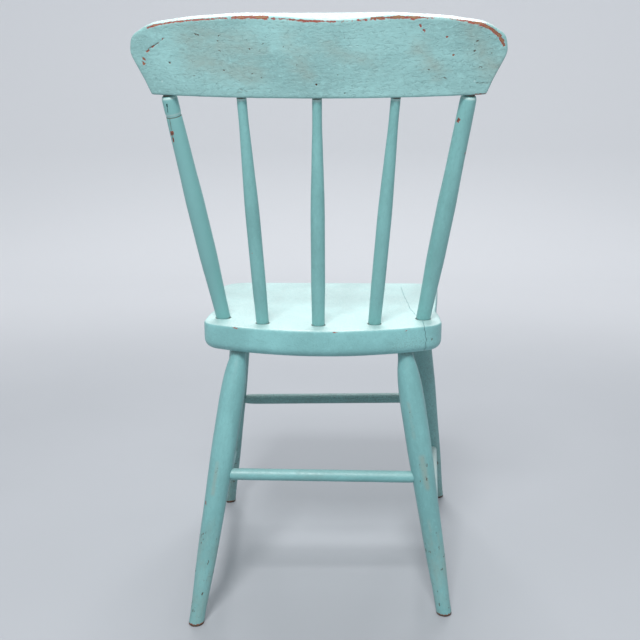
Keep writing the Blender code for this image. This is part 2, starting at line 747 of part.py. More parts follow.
def leg_brad_spots():
    spots = {}
    for index, side in enumerate((LEFT, RIGHT)):
        here, there = stretcher_axis("stretcher_rear")
        if index:
            here, there = there, here
        target = between(here, there, BRAD_INWARD)
        thick = leg_radius(*stretcher_ends("stretcher_rear")[index])
        rim = (thick ** 2 - BRAD_INWARD ** 2) ** 0.5
        outer = target + Vector((0, rim, 0))
        spots[f"leg_rear_{SIDE_NAMES[side]}"] = (outer, Vector((0, -1, 0)), BRAD_LEG_LENGTH)
    return spots


def brad_profile(length, gap):
    """Brad from its head's outer face inwards, or its hole where gap is more than 0."""
    start = FIT if not gap else -CUT_PAST
    return [
        (start, BRAD_HEAD_RADIUS + gap),
        (FIT + BRAD_HEAD_THICK + gap, BRAD_HEAD_RADIUS + gap),
        (FIT + BRAD_HEAD_THICK + gap, BRAD_RADIUS + gap),
        (length + gap, BRAD_RADIUS + gap),
    ]


def brads(spots, finish):
    made = []
    for label, (outer, inward, length) in spots.items():
        profile = brad_profile(length, 0.0)
        made.append(turned("brad_" + label, outer, outer + inward, profile, BRAD_SIDES, finish))
    return made


def brad_holes(spots):
    holes = {}
    for label, (outer, inward, length) in spots.items():
        profile = brad_profile(length, FIT)
        holes[label] = turned("brad_hole_" + label, outer, outer + inward, profile, BRAD_SIDES, None)
    return holes


def build_chair():
    clear_scene()
    paint = material("turquoise", 0.45, 0.0)
    steel = material("old_steel", 0.6, 0.9)
    chair = bpy.data.objects.new("chair", None)
    bpy.context.scene.collection.objects.link(chair)
    crest_brads, leg_brads = brad_spots(), leg_brad_spots()
    crest_holes, leg_holes = brad_holes(crest_brads), brad_holes(leg_brads)
    seat = seat_plank(paint)
    cut(seat, [dish_cutter()] + split_cutters() + seat_sockets())
    crest = crest_board(paint)
    cut(crest, crest_sockets() + list(crest_holes.values()))
    posts = [stile(side, paint) for side in (LEFT, RIGHT)]
    posts += [spindle(which, paint) for which in SPINDLES]
    for post in posts:
        cut(post, [crest_holes[post.name]] if post.name in crest_holes else [])
    legs = [leg(end, side, paint) for end, side in LEGS]
    for made, (end, side) in zip(legs, LEGS):
        cut(made, leg_sockets(end, side) + ([leg_holes[made.name]] if made.name in leg_holes else []))
    rails = [stretcher(name, paint) for name in STRETCHERS]
    cut(rails[0], list(leg_holes.values()))
    pins = brads(crest_brads, steel) + brads(leg_brads, steel)
    for piece in [seat, crest] + posts + legs + rails + pins:
        piece.parent = chair


build_chair()
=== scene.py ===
"""Old painted kitchen chair: turquoise brushed over vermilion, chipped and worn by hands.

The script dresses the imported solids. Turned pieces are raised ring by ring on their own axes,
the seat is drawn from its outline, and the crest rail is a finer copy of its board.
"""

import json
from math import atan2, cos, hypot, pi, radians, sin, tan

import bpy
import numpy as np
from mathutils import Matrix, Vector

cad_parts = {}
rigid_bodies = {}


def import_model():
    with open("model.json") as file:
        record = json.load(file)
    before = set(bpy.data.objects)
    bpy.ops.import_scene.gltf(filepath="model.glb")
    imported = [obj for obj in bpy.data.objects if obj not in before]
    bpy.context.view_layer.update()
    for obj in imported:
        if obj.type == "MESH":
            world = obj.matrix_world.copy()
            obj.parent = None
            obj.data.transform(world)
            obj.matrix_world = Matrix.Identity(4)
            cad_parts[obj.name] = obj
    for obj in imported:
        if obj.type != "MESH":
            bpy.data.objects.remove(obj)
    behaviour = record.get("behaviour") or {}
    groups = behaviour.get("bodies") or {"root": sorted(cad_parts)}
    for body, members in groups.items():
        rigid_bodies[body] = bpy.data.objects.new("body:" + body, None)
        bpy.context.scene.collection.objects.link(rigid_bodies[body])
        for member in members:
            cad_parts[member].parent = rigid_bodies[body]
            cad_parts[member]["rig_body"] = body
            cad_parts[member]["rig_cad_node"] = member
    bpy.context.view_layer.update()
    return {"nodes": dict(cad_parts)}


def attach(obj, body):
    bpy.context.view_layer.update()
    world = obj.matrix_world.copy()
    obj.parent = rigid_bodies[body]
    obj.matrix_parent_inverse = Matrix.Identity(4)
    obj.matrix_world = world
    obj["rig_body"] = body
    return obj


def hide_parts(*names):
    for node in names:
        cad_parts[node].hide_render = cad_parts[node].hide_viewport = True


bl_info = {
    "name": "Peeling paint chair",
    "version": (1, 0, 0),
    "blender": (4, 5, 0),
    "location": "3D View > Sidebar > Chair",
    "description": "Builds a worn, painted plank-seat chair on its solid model",
    "category": "Add Mesh",
}

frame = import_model()

# Crest rail board, as the solid has it
CREST_PLACE = Vector((0.0, 0.218, 0.735))
CREST_LEAN = radians(17.4)
CREST_TILT = radians(0.37)
CREST_THICK = 0.0213
CREST_BEND_RADIUS = 1.18

# Seat outline: across, back and corner radius, for the sitter's left half
SEAT_TOP = 0.430
SEAT_THICK = 0.0385
SEAT_CORNERS = (
    (0.0750, 0.1805, 0.300),
    (0.1692, 0.1340, 0.030),
    (0.1692, 0.0750, 0.028),
    (0.1660, 0.0470, 0.028),
    (0.1890, -0.1810, 0.040),
)
SEAT_TOP_ROUND = 0.0020
SEAT_UNDER_ROUND = 0.0125
SAME_PLACE = 1e-5
DISH = {"depth": 0.006, "half_width": 0.130, "half_length": 0.115, "middle_y": -0.035}
SEAT_SOCKET = 0.024

POSTS = ("stile_left", "stile_right", "spindle_left", "spindle_centre", "spindle_right")
LEGS = ("leg_rear_left", "leg_rear_right", "leg_front_left", "leg_front_right")
STRETCHERS = ("stretcher_rear", "stretcher_front", "stretcher_left", "stretcher_right")
BRADS = (
    "brad_stile_left", "brad_stile_right", "brad_spindle_centre",
    "brad_leg_rear_left", "brad_leg_rear_right",
)

PAINTED_BRADS = ("brad_stile_left", "brad_stile_right")

# Reading of a turned solid: depth of its end faces, and how corners are grouped into rings
END_BAND = 0.0003
RING_BAND = 0.00003
RING_CORNERS = 12
STEP_APART = 0.0003

# Joints: depth of a post in the crest rail, room round a tenon, and how far a stretcher's
# shoulders go into the legs
CREST_SOCKET = 0.030
SOCKET_ROOM = 0.0003
SOCKET_DEPTH = 0.040
SHOULDER_IN = 0.006

# The ring turned on the left stile, and the stretch of the right stile that has none
STILE_RING = 0.3267
PLAIN_STRETCH = (0.31, 0.335)

# Radius at which marks lie on the posts and legs
POST_CHIP_RADIUS = 0.0105
POST_CRACK_RADIUS = 0.0102
LEG_CHIP_RADIUS = 0.015
LEG_RUB_RADIUS = 0.0165
SLOT_REACH = 0.007

# Bands round a post: place from the joint or ring, reach and strength
FOOT_DIRT = (0.0, 0.0035, 0.75)
# Painted highlight on the rounded rim under a post's head
PAINTED_RIM_HIGHLIGHT = (-0.0040, 0.0018, 0.5)
# Painted shade under the left stile's ring
PAINTED_RING_SHADE = (-0.0012, 0.0018, 0.85)
# Painted highlight on the collar above that ring
PAINTED_RING_HIGHLIGHT = (0.0022, 0.0022, 0.3)

# Wear, painted shade and painted highlights that fade: where each is none, where it is full, and
# its strength
# Painted shade in the gap under the crest rail at each post's head
PAINTED_HEAD_GAP_SHADE = (-0.0026, -0.0014, 0.95)
SOLE_CHIPS = (0.0054, 0.0018, 1.0)
SOLE_DIRT = (0.0040, 0.0024, 0.85)
# Painted shade that the seat casts on the tops of the legs
PAINTED_NECK_SHADE = (0.378, 0.390, 0.51)
STRETCHER_END_DIRT = (0.024, 0.0, 0.6)
# Rubbed paint with a painted highlight on the crest rail's upward faces
CREST_TOP_RUB_AND_HIGHLIGHT = (0.35, 0.75, 0.35)
# Rubbed paint with a painted sheen on the seat's upward faces
SEAT_TOP_RUB_AND_SHEEN = (0.5, 0.9, 0.45)
POST_FOOT_RING = (0.003, 0.0, 0.8)

# Wear and painted shade all over a piece, and rubbed paint with painted highlights on its upward
# faces
# Painted shade over the front legs and the front stretcher, under the seat
PAINTED_FRONT_LEG_SHADE = 0.408
PAINTED_FRONT_STRETCHER_SHADE = 0.48
THIN = {"posts": 0.08, "stretchers": 0.25, "crest": 0.10, "seat": 0.05}
# Rubbed paint with a painted highlight on the stretchers' upward faces, strongest on the right one
STRETCHER_TOP_RUB_AND_HIGHLIGHT = (0.2, 0.7)
RUB_AND_HIGHLIGHT_BY_STRETCHER = {"stretcher_right": 0.6}
LEAST_RUB_AND_HIGHLIGHT = 0.15
LEG_STREAKS = {"top": 0.276, "length": 0.24, "least": 0.12, "most": 0.85, "strength": 0.55}

# Specks scattered round a long chip: spread in chip widths, and strength; depth of a crack
SCATTER = (3.2, 0.27)
CRACK_DEPTH = 0.0006

# Arris along the crest rail's front face: its points, half width and strength
CREST_BROW = ((0.204, 0.0835), (0.155, 0.0915), (0.095, 0.0965), (-0.095, 0.0965),
              (-0.155, 0.0915), (-0.204, 0.0835))
BROW_WEAR = (0.0014, 0.30)

# Stage
FLOOR_SIZE = 24.0
FLOOR_SHIFT = 8.0
WALL_Y = FLOOR_SHIFT - FLOOR_SIZE / 2
WALL_HEIGHT = 4.0
WALL_BEND = 1.5
FAR_FLOOR = (0.86, 0.87, 0.90)
FAR_AWAY = (0.9, 3.6)
SKY_TINT = (0.93, 0.97, 1.0, 1.0)
FAR_TINT = (0.50, 0.528, 0.565, 1.0)
RUST = (0.16, 0.07, 0.03)
KEY_LAMP = ((0.16, 1.65, 2.25), (0, 0, 0.45), 0.55)
TOP_LAMP = ((0.0, -1.5, 2.3), (0, 0, 0.43), 1.5)

# Nail slot in the left stile's head and the crack under it: width, and (along, angle) on its path
STILE_SLOT = (
    (0.0019, ((0.3445, 17), (0.3425, 19), (0.3404, 20))),
    (0.0008, ((0.3402, 21), (0.337, 23), (0.333, 27))),
)
# Wear on the turned pieces: along the piece and angle at both ends of a mark, half width, strength
BAR_CHIPS = {
    "stile_left": (
        (0.308, 26, 0.3055, 28, 0.0014, 1.1), (0.3075, 42, 0.3045, 44, 0.0014, 1.1),
        (0.2995, 36, 0.2955, 38, 0.0014, 1.0)),
    "stile_right": (
        (0.3205, 46, 0.3175, 58, 0.002, 1.1), (0.278, -59, 0.277, -56, 0.0012, 0.9),
        (0.2382, -13, 0.2384, -10, 0.001, 0.8), (0.225, -52, 0.224, -52, 0.0012, 0.8)),
    "spindle_left": ((0.1346, 27, 0.134, 27, 0.0009, 0.9),),
    "leg_rear_right": (
        (0.2315, 1, 0.2308, 1, 0.0014, 0.9), (0.2171, -17, 0.2165, -15, 0.0013, 0.9),
        (0.226, -8, 0.225, -8, 0.0009, 0.85), (0.2205, 6, 0.219, 6, 0.0008, 0.8),
        (0.212, -3, 0.2105, -3, 0.0009, 0.85), (0.208, -12, 0.207, -12, 0.0008, 0.8),
        (0.0426, 25, 0.04, 25, 0.0012, 0.7)),
    "leg_rear_left": (
        (0.1804, 51, 0.178, 50, 0.0016, 0.8), (0.2095, 15, 0.2085, 15, 0.0012, 0.7),
        (0.0367, 38, 0.035, 36, 0.0015, 0.8), (0.0231, 18, 0.022, 20, 0.0015, 0.8)),
}
POST_CRACKS = {
    "stile_left": (
        (0.3255, 26, 0.31, 32, 0.0009, 0.75), (0.305, 36, 0.295, 38, 0.0012, 0.8),
        (0.3066, 27, 0.305, 28, 0.0011, 0.95), (0.3062, 43, 0.304, 44, 0.0011, 0.95),
        (0.2985, 36, 0.2955, 38, 0.0012, 0.95)),
    "stile_right": ((0.3198, 50, 0.318, 54, 0.0013, 0.95),),
}

# Patches on the legs where the topcoat is rubbed thin, written as the chips are
BAR_THIN = {
    "leg_rear_right": (
        (0.245, -6, 0.2, -10, 0.005, 0.85), (0.15, 10, 0.115, 8, 0.003, 0.7),
        (0.13, -34, 0.05, -38, 0.003, 0.8), (0.325, 20, 0.275, 18, 0.0035, 0.6)),
    "leg_rear_left": (
        (0.24, 16, 0.195, 14, 0.004, 0.75), (0.135, 40, 0.09, 40, 0.003, 0.7),
        (0.08, 14, 0.03, 16, 0.0035, 0.75)),
}

# A chip longer than this has specks of undercoat scattered round it
LONG_CHIP = 0.006

# Wear on the crest rail's rear face: along and up at both ends of a mark, half width, strength
CREST_CHIPS = (
    (0.202, 0.0815, 0.185, 0.0864, 0.0011, 1.05),
    (0.185, 0.0864, 0.1664, 0.0895, 0.0012, 1.25),
    (0.1664, 0.0895, 0.154, 0.0912, 0.0011, 1.05),
    (0.154, 0.0912, 0.13, 0.0928, 0.0011, 0.95),
    (0.13, 0.0928, 0.103, 0.0942, 0.001, 0.95),
    (0.096, 0.0953, 0.085, 0.0958, 0.0013, 1.0),
    (0.085, 0.096, 0.056, 0.0962, 0.002, 1.1),
    (0.0501, 0.0945, 0.015, 0.092, 0.001, 0.85),
    (0.015, 0.0915, -0.04, 0.0905, 0.0009, 0.75),
    (-0.04, 0.0908, -0.0641, 0.093, 0.0009, 0.55),
    (-0.0652, 0.0935, -0.095, 0.0945, 0.0014, 1.1),
    (-0.095, 0.0945, -0.1287, 0.0942, 0.0015, 1.1),
    (-0.1287, 0.0942, -0.148, 0.0929, 0.0012, 1.2),
    (-0.148, 0.0929, -0.1625, 0.0915, 0.0012, 1.25),
    (-0.1625, 0.0912, -0.178, 0.0888, 0.0015, 1.1),
    (-0.178, 0.0888, -0.193, 0.0848, 0.0019, 1.1),
    (-0.193, 0.0848, -0.207, 0.0775, 0.0018, 1.1),
    (-0.207, 0.0775, -0.217, 0.069, 0.0016, 1.1),
    (-0.217, 0.069, -0.2225, 0.059, 0.0014, 1.1),
    (0.182, 0.07, 0.1903, 0.0639, 0.0007, 0.8),
    (0.205, 0.0535, 0.204, 0.0545, 0.0017, 1.1),
    (0.199, 0.0585, 0.196, 0.0605, 0.0009, 0.9),
    (0.2118, 0.0453, 0.21, 0.044, 0.0013, 1.0),
    (0.2125, 0.04, 0.211, 0.0385, 0.0013, 1.0),
    (-0.121, 0.085, -0.1225, 0.084, 0.0011, 1.0),
    (-0.1252, 0.08, -0.1268, 0.078, 0.0008, 0.9),
    (-0.1531, 0.071, -0.1534, 0.0712, 0.0009, 0.9),
    (-0.162, 0.0498, -0.1622, 0.05, 0.0009, 0.9),
    (0.1783, 0.041, 0.178, 0.0405, 0.001, 0.9),
    (-0.184, 0.0004, -0.206, 0.0012, 0.0009, 0.8),
    (-0.2085, 0.006, -0.212, 0.015, 0.0008, 0.7),
    (0.2068, 0.001, 0.198, 0.0004, 0.0008, 0.6),
)
CREST_THIN = (
    (0.155, 0.07, 0.08, 0.055, 0.028, 0.66),
    (0.15, 0.045, 0.075, 0.032, 0.02, 0.62),
    (0.035, 0.078, 0.012, 0.03, 0.018, 0.6),
    (-0.02, 0.06, -0.065, 0.042, 0.018, 0.6),
    (-0.122, 0.058, -0.145, 0.032, 0.014, 0.66),
    (-0.18, 0.075, -0.215, 0.03, 0.018, 0.66),
)
CREST_CRACKS = (
    (0.182, 0.07, 0.1903, 0.0639, 0.0006, 0.55),
    (0.1903, 0.0639, 0.2039, 0.0563, 0.0007, 0.85),
    (-0.1921, 0.0154, -0.2069, 0.0147, 0.0006, 0.9),
    (0.1783, 0.0406, 0.1783, 0.0408, 0.0011, 1.0),
    (-0.034, 0.0072, -0.0341, 0.0072, 0.001, 0.9),
    (-0.0256, 0.0292, -0.0257, 0.0292, 0.001, 0.8),
    (0.093, 0.011, 0.084, 0.0085, 0.0007, 0.7),
    (0.096, 0.0075, 0.09, 0.007, 0.0006, 0.7),
    (-0.124, 0.0385, -0.1262, 0.03, 0.0014, 0.42),
    (-0.1515, 0.0206, -0.1685, 0.02, 0.0005, 0.5),
    (0.16, 0.084, 0.157, 0.083, 0.0009, 0.5),
    (0.18, 0.0835, 0.177, 0.082, 0.0009, 0.5),
)

# Chips and rubbed stretches along the seat's upper edges: both ends, half width, strength
SEAT_CHIPS = (
    ((0.124, 0.1558, 0.4283), (0.112, 0.1606, 0.4283), 0.001, 0.85),
    ((-0.018, 0.18, 0.4283), (-0.031, 0.1796, 0.4283), 0.0009, 0.75),
    ((-0.0467, 0.1788, 0.4283), (-0.054, 0.178, 0.4283), 0.0009, 0.8),
    ((-0.09, 0.1708, 0.4283), (-0.105, 0.1645, 0.4283), 0.0009, 0.8),
    ((-0.1165, 0.159, 0.4262), (-0.118, 0.1585, 0.4258), 0.001, 0.85),
    ((0.06, 0.1785, 0.4283), (0.042, 0.1795, 0.4283), 0.0007, 0.55),
    ((-0.15, -0.181, 0.4285), (0.145, -0.181, 0.4285), 0.0016, 0.26),
    ((0.169, 0.11, 0.4285), (0.169, 0.08, 0.4285), 0.0016, 0.3),
    ((-0.169, 0.11, 0.4285), (-0.169, 0.08, 0.4285), 0.0016, 0.3),
)
# A dark dot and a shaded part of the seat's rear edge, whose middle is at this depth
SEAT_DOT = ((-0.1541, 0.1413, 0.4104), (-0.1541, 0.1413, 0.41), 0.0014, 1.0)
SEAT_SHADE = (((-0.16, 0.15, 0.405), (-0.108, 0.17, 0.405), 0.024, 0.44),)
SEAT_REAR = 0.148

# Radius of a post where it meets the seat
FOOT_RADIUS = {"stile": 0.0105, "spindle": 0.0092}

# Dirt along the splits: half width and strength
REAR_SPLIT_DIRT = (0.0011, 0.55)
TOP_SPLIT_DIRT = (0.0013, 0.42)

# Splits in the seat: width, reach, and the path that the cut's middle follows
TOP_SPLIT = (0.0004, 0.006, (
    (-0.1378, 0.086, 0.429), (-0.1345, 0.077, 0.429), (-0.133, 0.06, 0.429),
    (-0.1288, 0.03, 0.429), (-0.1275, -0.01, 0.429), (-0.124, -0.07, 0.429),
    (-0.1226, -0.1436, 0.429)))
REAR_SPLIT = (0.0005, 0.042, (
    (-0.1424, 0.1335, 0.436), (-0.1428, 0.134, 0.425), (-0.145, 0.1335, 0.4205),
    (-0.1438, 0.1337, 0.416), (-0.1466, 0.1335, 0.4105), (-0.145, 0.1338, 0.406),
    (-0.1457, 0.1335, 0.4), (-0.1436, 0.1337, 0.394), (-0.144, 0.1335, 0.386)))


def linear(code):
    """Scene colour of a six-digit screen colour."""
    shares = [int(code[i:i + 2], 16) / 255 for i in (0, 2, 4)]
    return tuple(s / 12.92 if s <= 0.04045 else ((s + 0.055) / 1.055) ** 2.4 for s in shares)


def length(name, description, default):
    """Property for a length in metres."""
    return bpy.props.FloatProperty(
        name=name, description=description, default=default, min=0.0001, unit="LENGTH")


def colour(name, description, code):
    """Property for a colour, with the screen colour's code as its default."""
    return bpy.props.FloatVectorProperty(
        name=name, description=description, subtype="COLOR", default=linear(code))


class ChairSizes(bpy.types.PropertyGroup):
    crest_grid: length("Crest grid", "Grid of the crest rail's finer mesh", 0.00125)
    seat_grid: length("Seat grid", "Grid of the seat's finer mesh", 0.00178)
    ring_step: length("Ring step", "Longest step between two rings of a turned piece", 0.008)
    foot_radius: length("Foot radius", "Radius of a leg at the floor", 0.0109)
    foot_edge: length("Foot edge", "Worn edge round a sole", 0.0014)
    hand_turning: length("Hand turning", "Unevenness of the turned pieces", 0.00035)
    brush_relief: length("Brush relief", "Height of the brushed paint's ridges", 0.00045)
    chip_depth: length("Chip depth", "Depth of a chip through the paint", 0.00035)


class ChairColours(bpy.types.PropertyGroup):
    crest: colour("Crest topcoat", "Faded turquoise of the crest rail", "8dbab9")
    posts: colour("Post topcoat", "Turquoise of the stiles and spindles", "77adac")
    seat: colour("Seat topcoat", "Turquoise of the seat", "7cb3b4")
    legs: colour("Leg topcoat", "Turquoise of the legs and stretchers", "74aaab")
    vermilion: colour("Vermilion", "Undercoat that shows in the chips", "9a3a35")
    orange: colour("Orange", "Middle coat at the rim of a chip", "c97f4e")
    yellow: colour("Yellow", "Thin pale coat at the rim of a chip", "d8c795")
    wood: colour("Bare wood", "Wood at the bottom of a deep chip", "8a6a48")
    thin: colour("Thin paint", "Grey-tan of the thinly brushed patches", "8f9488")
    # Pale rubbed paint, also used for painted highlights on rims, collars and tops, and for the
    # seat's painted sheen
    chalk_and_highlight: colour("Chalk", "Pale rubbed paint on edges that hands and light reach", "dfe9e4")
    # Colour of soiling in joints and cracks, also used for painted shade in gaps, under the seat
    # and over the front legs and stretcher
    grime_and_shade: colour("Grime", "Dirt in the joints and cracks", "4a3b2c")
    steel: colour("Brads", "Darkened steel of the brads", "3a332d")
    floor: colour("Floor", "Pale floor and backdrop", "a3a6ab")


class ChairStage(bpy.types.PropertyGroup):
    camera: bpy.props.FloatVectorProperty(
        name="Camera", description="Place of the camera", subtype="TRANSLATION",
        unit="LENGTH", default=(-0.0586, 1.2942, 0.7013))
    turn: bpy.props.FloatProperty(
        name="Turn", description="Turn of the view from straight to the front",
        subtype="ANGLE", default=radians(2.9974))
    dip: bpy.props.FloatProperty(
        name="Dip", description="Dip of the view below level",
        subtype="ANGLE", default=radians(12.9194))
    roll: bpy.props.FloatProperty(
        name="Roll", description="Roll of the view", subtype="ANGLE", default=radians(-0.2991))
    lens: bpy.props.FloatProperty(
        name="Lens", description="Focal length on a 36 mm frame, in millimetres",
        default=47.8125)
    key: bpy.props.FloatProperty(
        name="Key light", description="Power of the soft light above the camera",
        default=50.0, subtype="POWER")
    top: bpy.props.FloatProperty(
        name="Top light", description="Power of the soft light above the chair's front",
        default=45.0, subtype="POWER")
    fill: bpy.props.FloatProperty(
        name="Fill light", description="Strength of the even light all round",
        default=0.62)


# Working in Blender

def alone(piece):
    """Selects one piece and nothing else."""
    if bpy.context.object and bpy.context.object.mode != "OBJECT":
        bpy.ops.object.mode_set(mode="OBJECT")
    bpy.ops.object.select_all(action="DESELECT")
    piece.select_set(True)
    bpy.context.view_layer.objects.active = piece


def modify(piece, kind, **settings):
    """Adds a modifier with these settings and applies it."""
    alone(piece)
    modifier = piece.modifiers.new(kind.title(), kind)
    for key, value in settings.items():
        setattr(modifier, key, value)
    bpy.ops.object.modifier_apply(modifier=modifier.name)


def remove(*pieces):
    for piece in pieces:
        bpy.data.objects.remove(piece)


def bored(piece, cutters):
    """Cuts each cutter out of a piece."""
    for cutter in cutters:
        modify(piece, "BOOLEAN", operation="DIFFERENCE", solver="EXACT", object=cutter)
        if not piece.data.polygons:
            raise RuntimeError(f"the {cutter.name} cut removed {piece.name}")
    remove(*cutters)


def relief(piece, size, strength, stretch=(1, 1, 1)):
    """Raises a noise on the surface, stretched along the axes of the row frame."""
    texture = bpy.data.textures.new("relief", "CLOUDS")
    texture.noise_scale = size
    texture.noise_depth = 3
    bpy.ops.object.empty_add(location=(0.013, 0.007, 0.021))
    ruler = bpy.context.object
    ruler.scale = stretch
    bpy.context.view_layer.update()
    modify(piece, "DISPLACE", texture=texture, texture_coords="OBJECT",
           texture_coords_object=ruler, strength=strength, mid_level=0.5)
    remove(ruler)


def pick(piece, kind, wanted):
    """Enters edit mode with only the wanted corners or edges selected."""
    alone(piece)
    bpy.ops.object.mode_set(mode="EDIT")
    bpy.ops.mesh.select_mode(type=kind)
    bpy.ops.mesh.select_all(action="DESELECT")
    bpy.ops.object.mode_set(mode="OBJECT")
    for part in piece.data.vertices if kind == "VERT" else piece.data.edges:
        part.select = wanted(part)
    bpy.ops.object.mode_set(mode="EDIT")


def places(piece):
    """Corners of a mesh as an array, in metres."""
    points = np.empty(len(piece.data.vertices) * 3)
    piece.data.vertices.foreach_get("co", points)
    return points.reshape(-1, 3)


def move_corners(piece, points):
    piece.data.vertices.foreach_set("co", points.ravel())
    piece.data.update()


def directions(piece):
    normals = np.empty(len(piece.data.vertices) * 3, np.float32)
    piece.data.vertices.foreach_get("normal", normals)
    return normals.reshape(-1, 3)


def store_grain(piece, values):
    """Keeps each corner's place across, through and along the grain."""
    grain = piece.data.attributes.new("grain", "FLOAT_VECTOR", "POINT")
    grain.data.foreach_set("vector", values.astype(np.float32).ravel())


def near_line(points, start, end):
    """Distance of each point from the line between start and end."""
    start, end = np.array(start), np.array(end)
    way = end - start
    share = np.clip((points - start) @ way / max(way @ way, 1e-12), 0, 1)
    return np.linalg.norm(points - start - share[:, None] * way, axis=1)


def worn(points, marks):
    """How far marks reach at each point: 1 inside, half at a mark's rim, 0 at twice its width."""
    level = np.zeros(len(points))
    for start, end, half, strength in marks:
        reach = strength * (1 - near_line(points, start, end) / (2 * half))
        level = np.maximum(level, reach)
    return level


def fade(values, none, full, strength=1.0):
    """0 at none, the strength at full, and straight between them."""
    return np.clip((values - none) / (full - none), 0, 1) * strength


def band(values, middle, reach, strength):
    """The strength at the middle, falling to 0 at reach from it."""
    return np.clip(1 - np.abs(values - middle) / reach, 0, 1) * strength


def store_wear_and_painted_light(piece, chips, thin, grime_and_shade, chalk_and_highlight):
    """Keeps chips, thin paint, soiling with painted shade, and rubbed paint with painted
    highlights as one colour on each corner.
    """
    wear_and_painted_light = piece.data.color_attributes.new("wear_and_painted_light", "FLOAT_COLOR", "POINT")
    values = np.clip(np.stack([chips, thin, grime_and_shade, chalk_and_highlight], axis=1), 0, 1)
    wear_and_painted_light.data.foreach_set("color", values.astype(np.float32).ravel())


def finish(piece, replaced, paint):
    """Gives a piece its paint and puts it in the place of a solid."""
    piece.data.materials.clear()
    piece.data.materials.append(paint)
    alone(piece)
    bpy.ops.object.shade_smooth_by_angle(angle=radians(50))
    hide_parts(replaced)
    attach(piece, "root")


# Materials

def add(tree, kind, links=None, **settings):
    """Adds a shader node; links holds a socket or a value for each input."""
    made = tree.nodes.new("ShaderNode" + kind)
    for key, value in settings.items():
        setattr(made, key, value)
    for name, value in (links or {}).items():
        if isinstance(value, bpy.types.NodeSocket):
            tree.links.new(value, made.inputs[name])
        else:
            made.inputs[name].default_value = value
    return made


def new_material(name):
    made = bpy.data.materials.new(name)
    made.use_nodes = True
    made.node_tree.nodes.clear()
    return made, made.node_tree


def surface(tree, **links):
    """Shader that ends a material."""
    names = {name.replace("_", " ").title(): value for name, value in links.items()}
    shader = add(tree, "BsdfPrincipled", names)
    output = add(tree, "OutputMaterial")
    tree.links.new(shader.outputs[0], output.inputs[0])


def maths(tree, operation, first, second=0.0):
    return add(tree, "Math", {0: first, 1: second}, operation=operation).outputs[0]


def span(tree, value, low, high, to_low=0.0, to_high=1.0):
    """Turns low to high into to_low to to_high, smoothly and no further."""
    node = add(tree, "MapRange", {"Value": value, "From Min": low, "From Max": high,
                                  "To Min": to_low, "To Max": to_high},
               interpolation_type="SMOOTHSTEP")
    return node.outputs[0]


def blend(tree, share, first, second):
    rgba = [c if isinstance(c, bpy.types.NodeSocket) else (*c, 1.0) for c in (first, second)]
    return add(tree, "MixRGB", {"Fac": share, "Color1": rgba[0], "Color2": rgba[1]}).outputs[0]


def fine(tree, place, scale, stretch=1.0, detail=4.0, rough=0.55, warp=0.0, shift=0.0):
    """Noise on the grain's coordinates, stretched along the grain."""
    turned = add(tree, "Mapping", {"Vector": place, "Scale": (1.0, 1.0, stretch),
                                   "Location": (shift, shift, shift)}, vector_type="POINT")
    node = add(tree, "TexNoise", {"Vector": turned.outputs[0], "Scale": scale, "Detail": detail,
                                  "Roughness": rough, "Distortion": warp})
    return node.outputs[0]


def ramp(tree, value, stops):
    node = add(tree, "ValToRGB", {"Fac": value})
    band = node.color_ramp
    while len(band.elements) < len(stops):
        band.elements.new(1.0)
    for element, (place, colour) in zip(band.elements, stops):
        element.position = place
        element.color = (*colour, 1.0)
    return node.outputs[0]


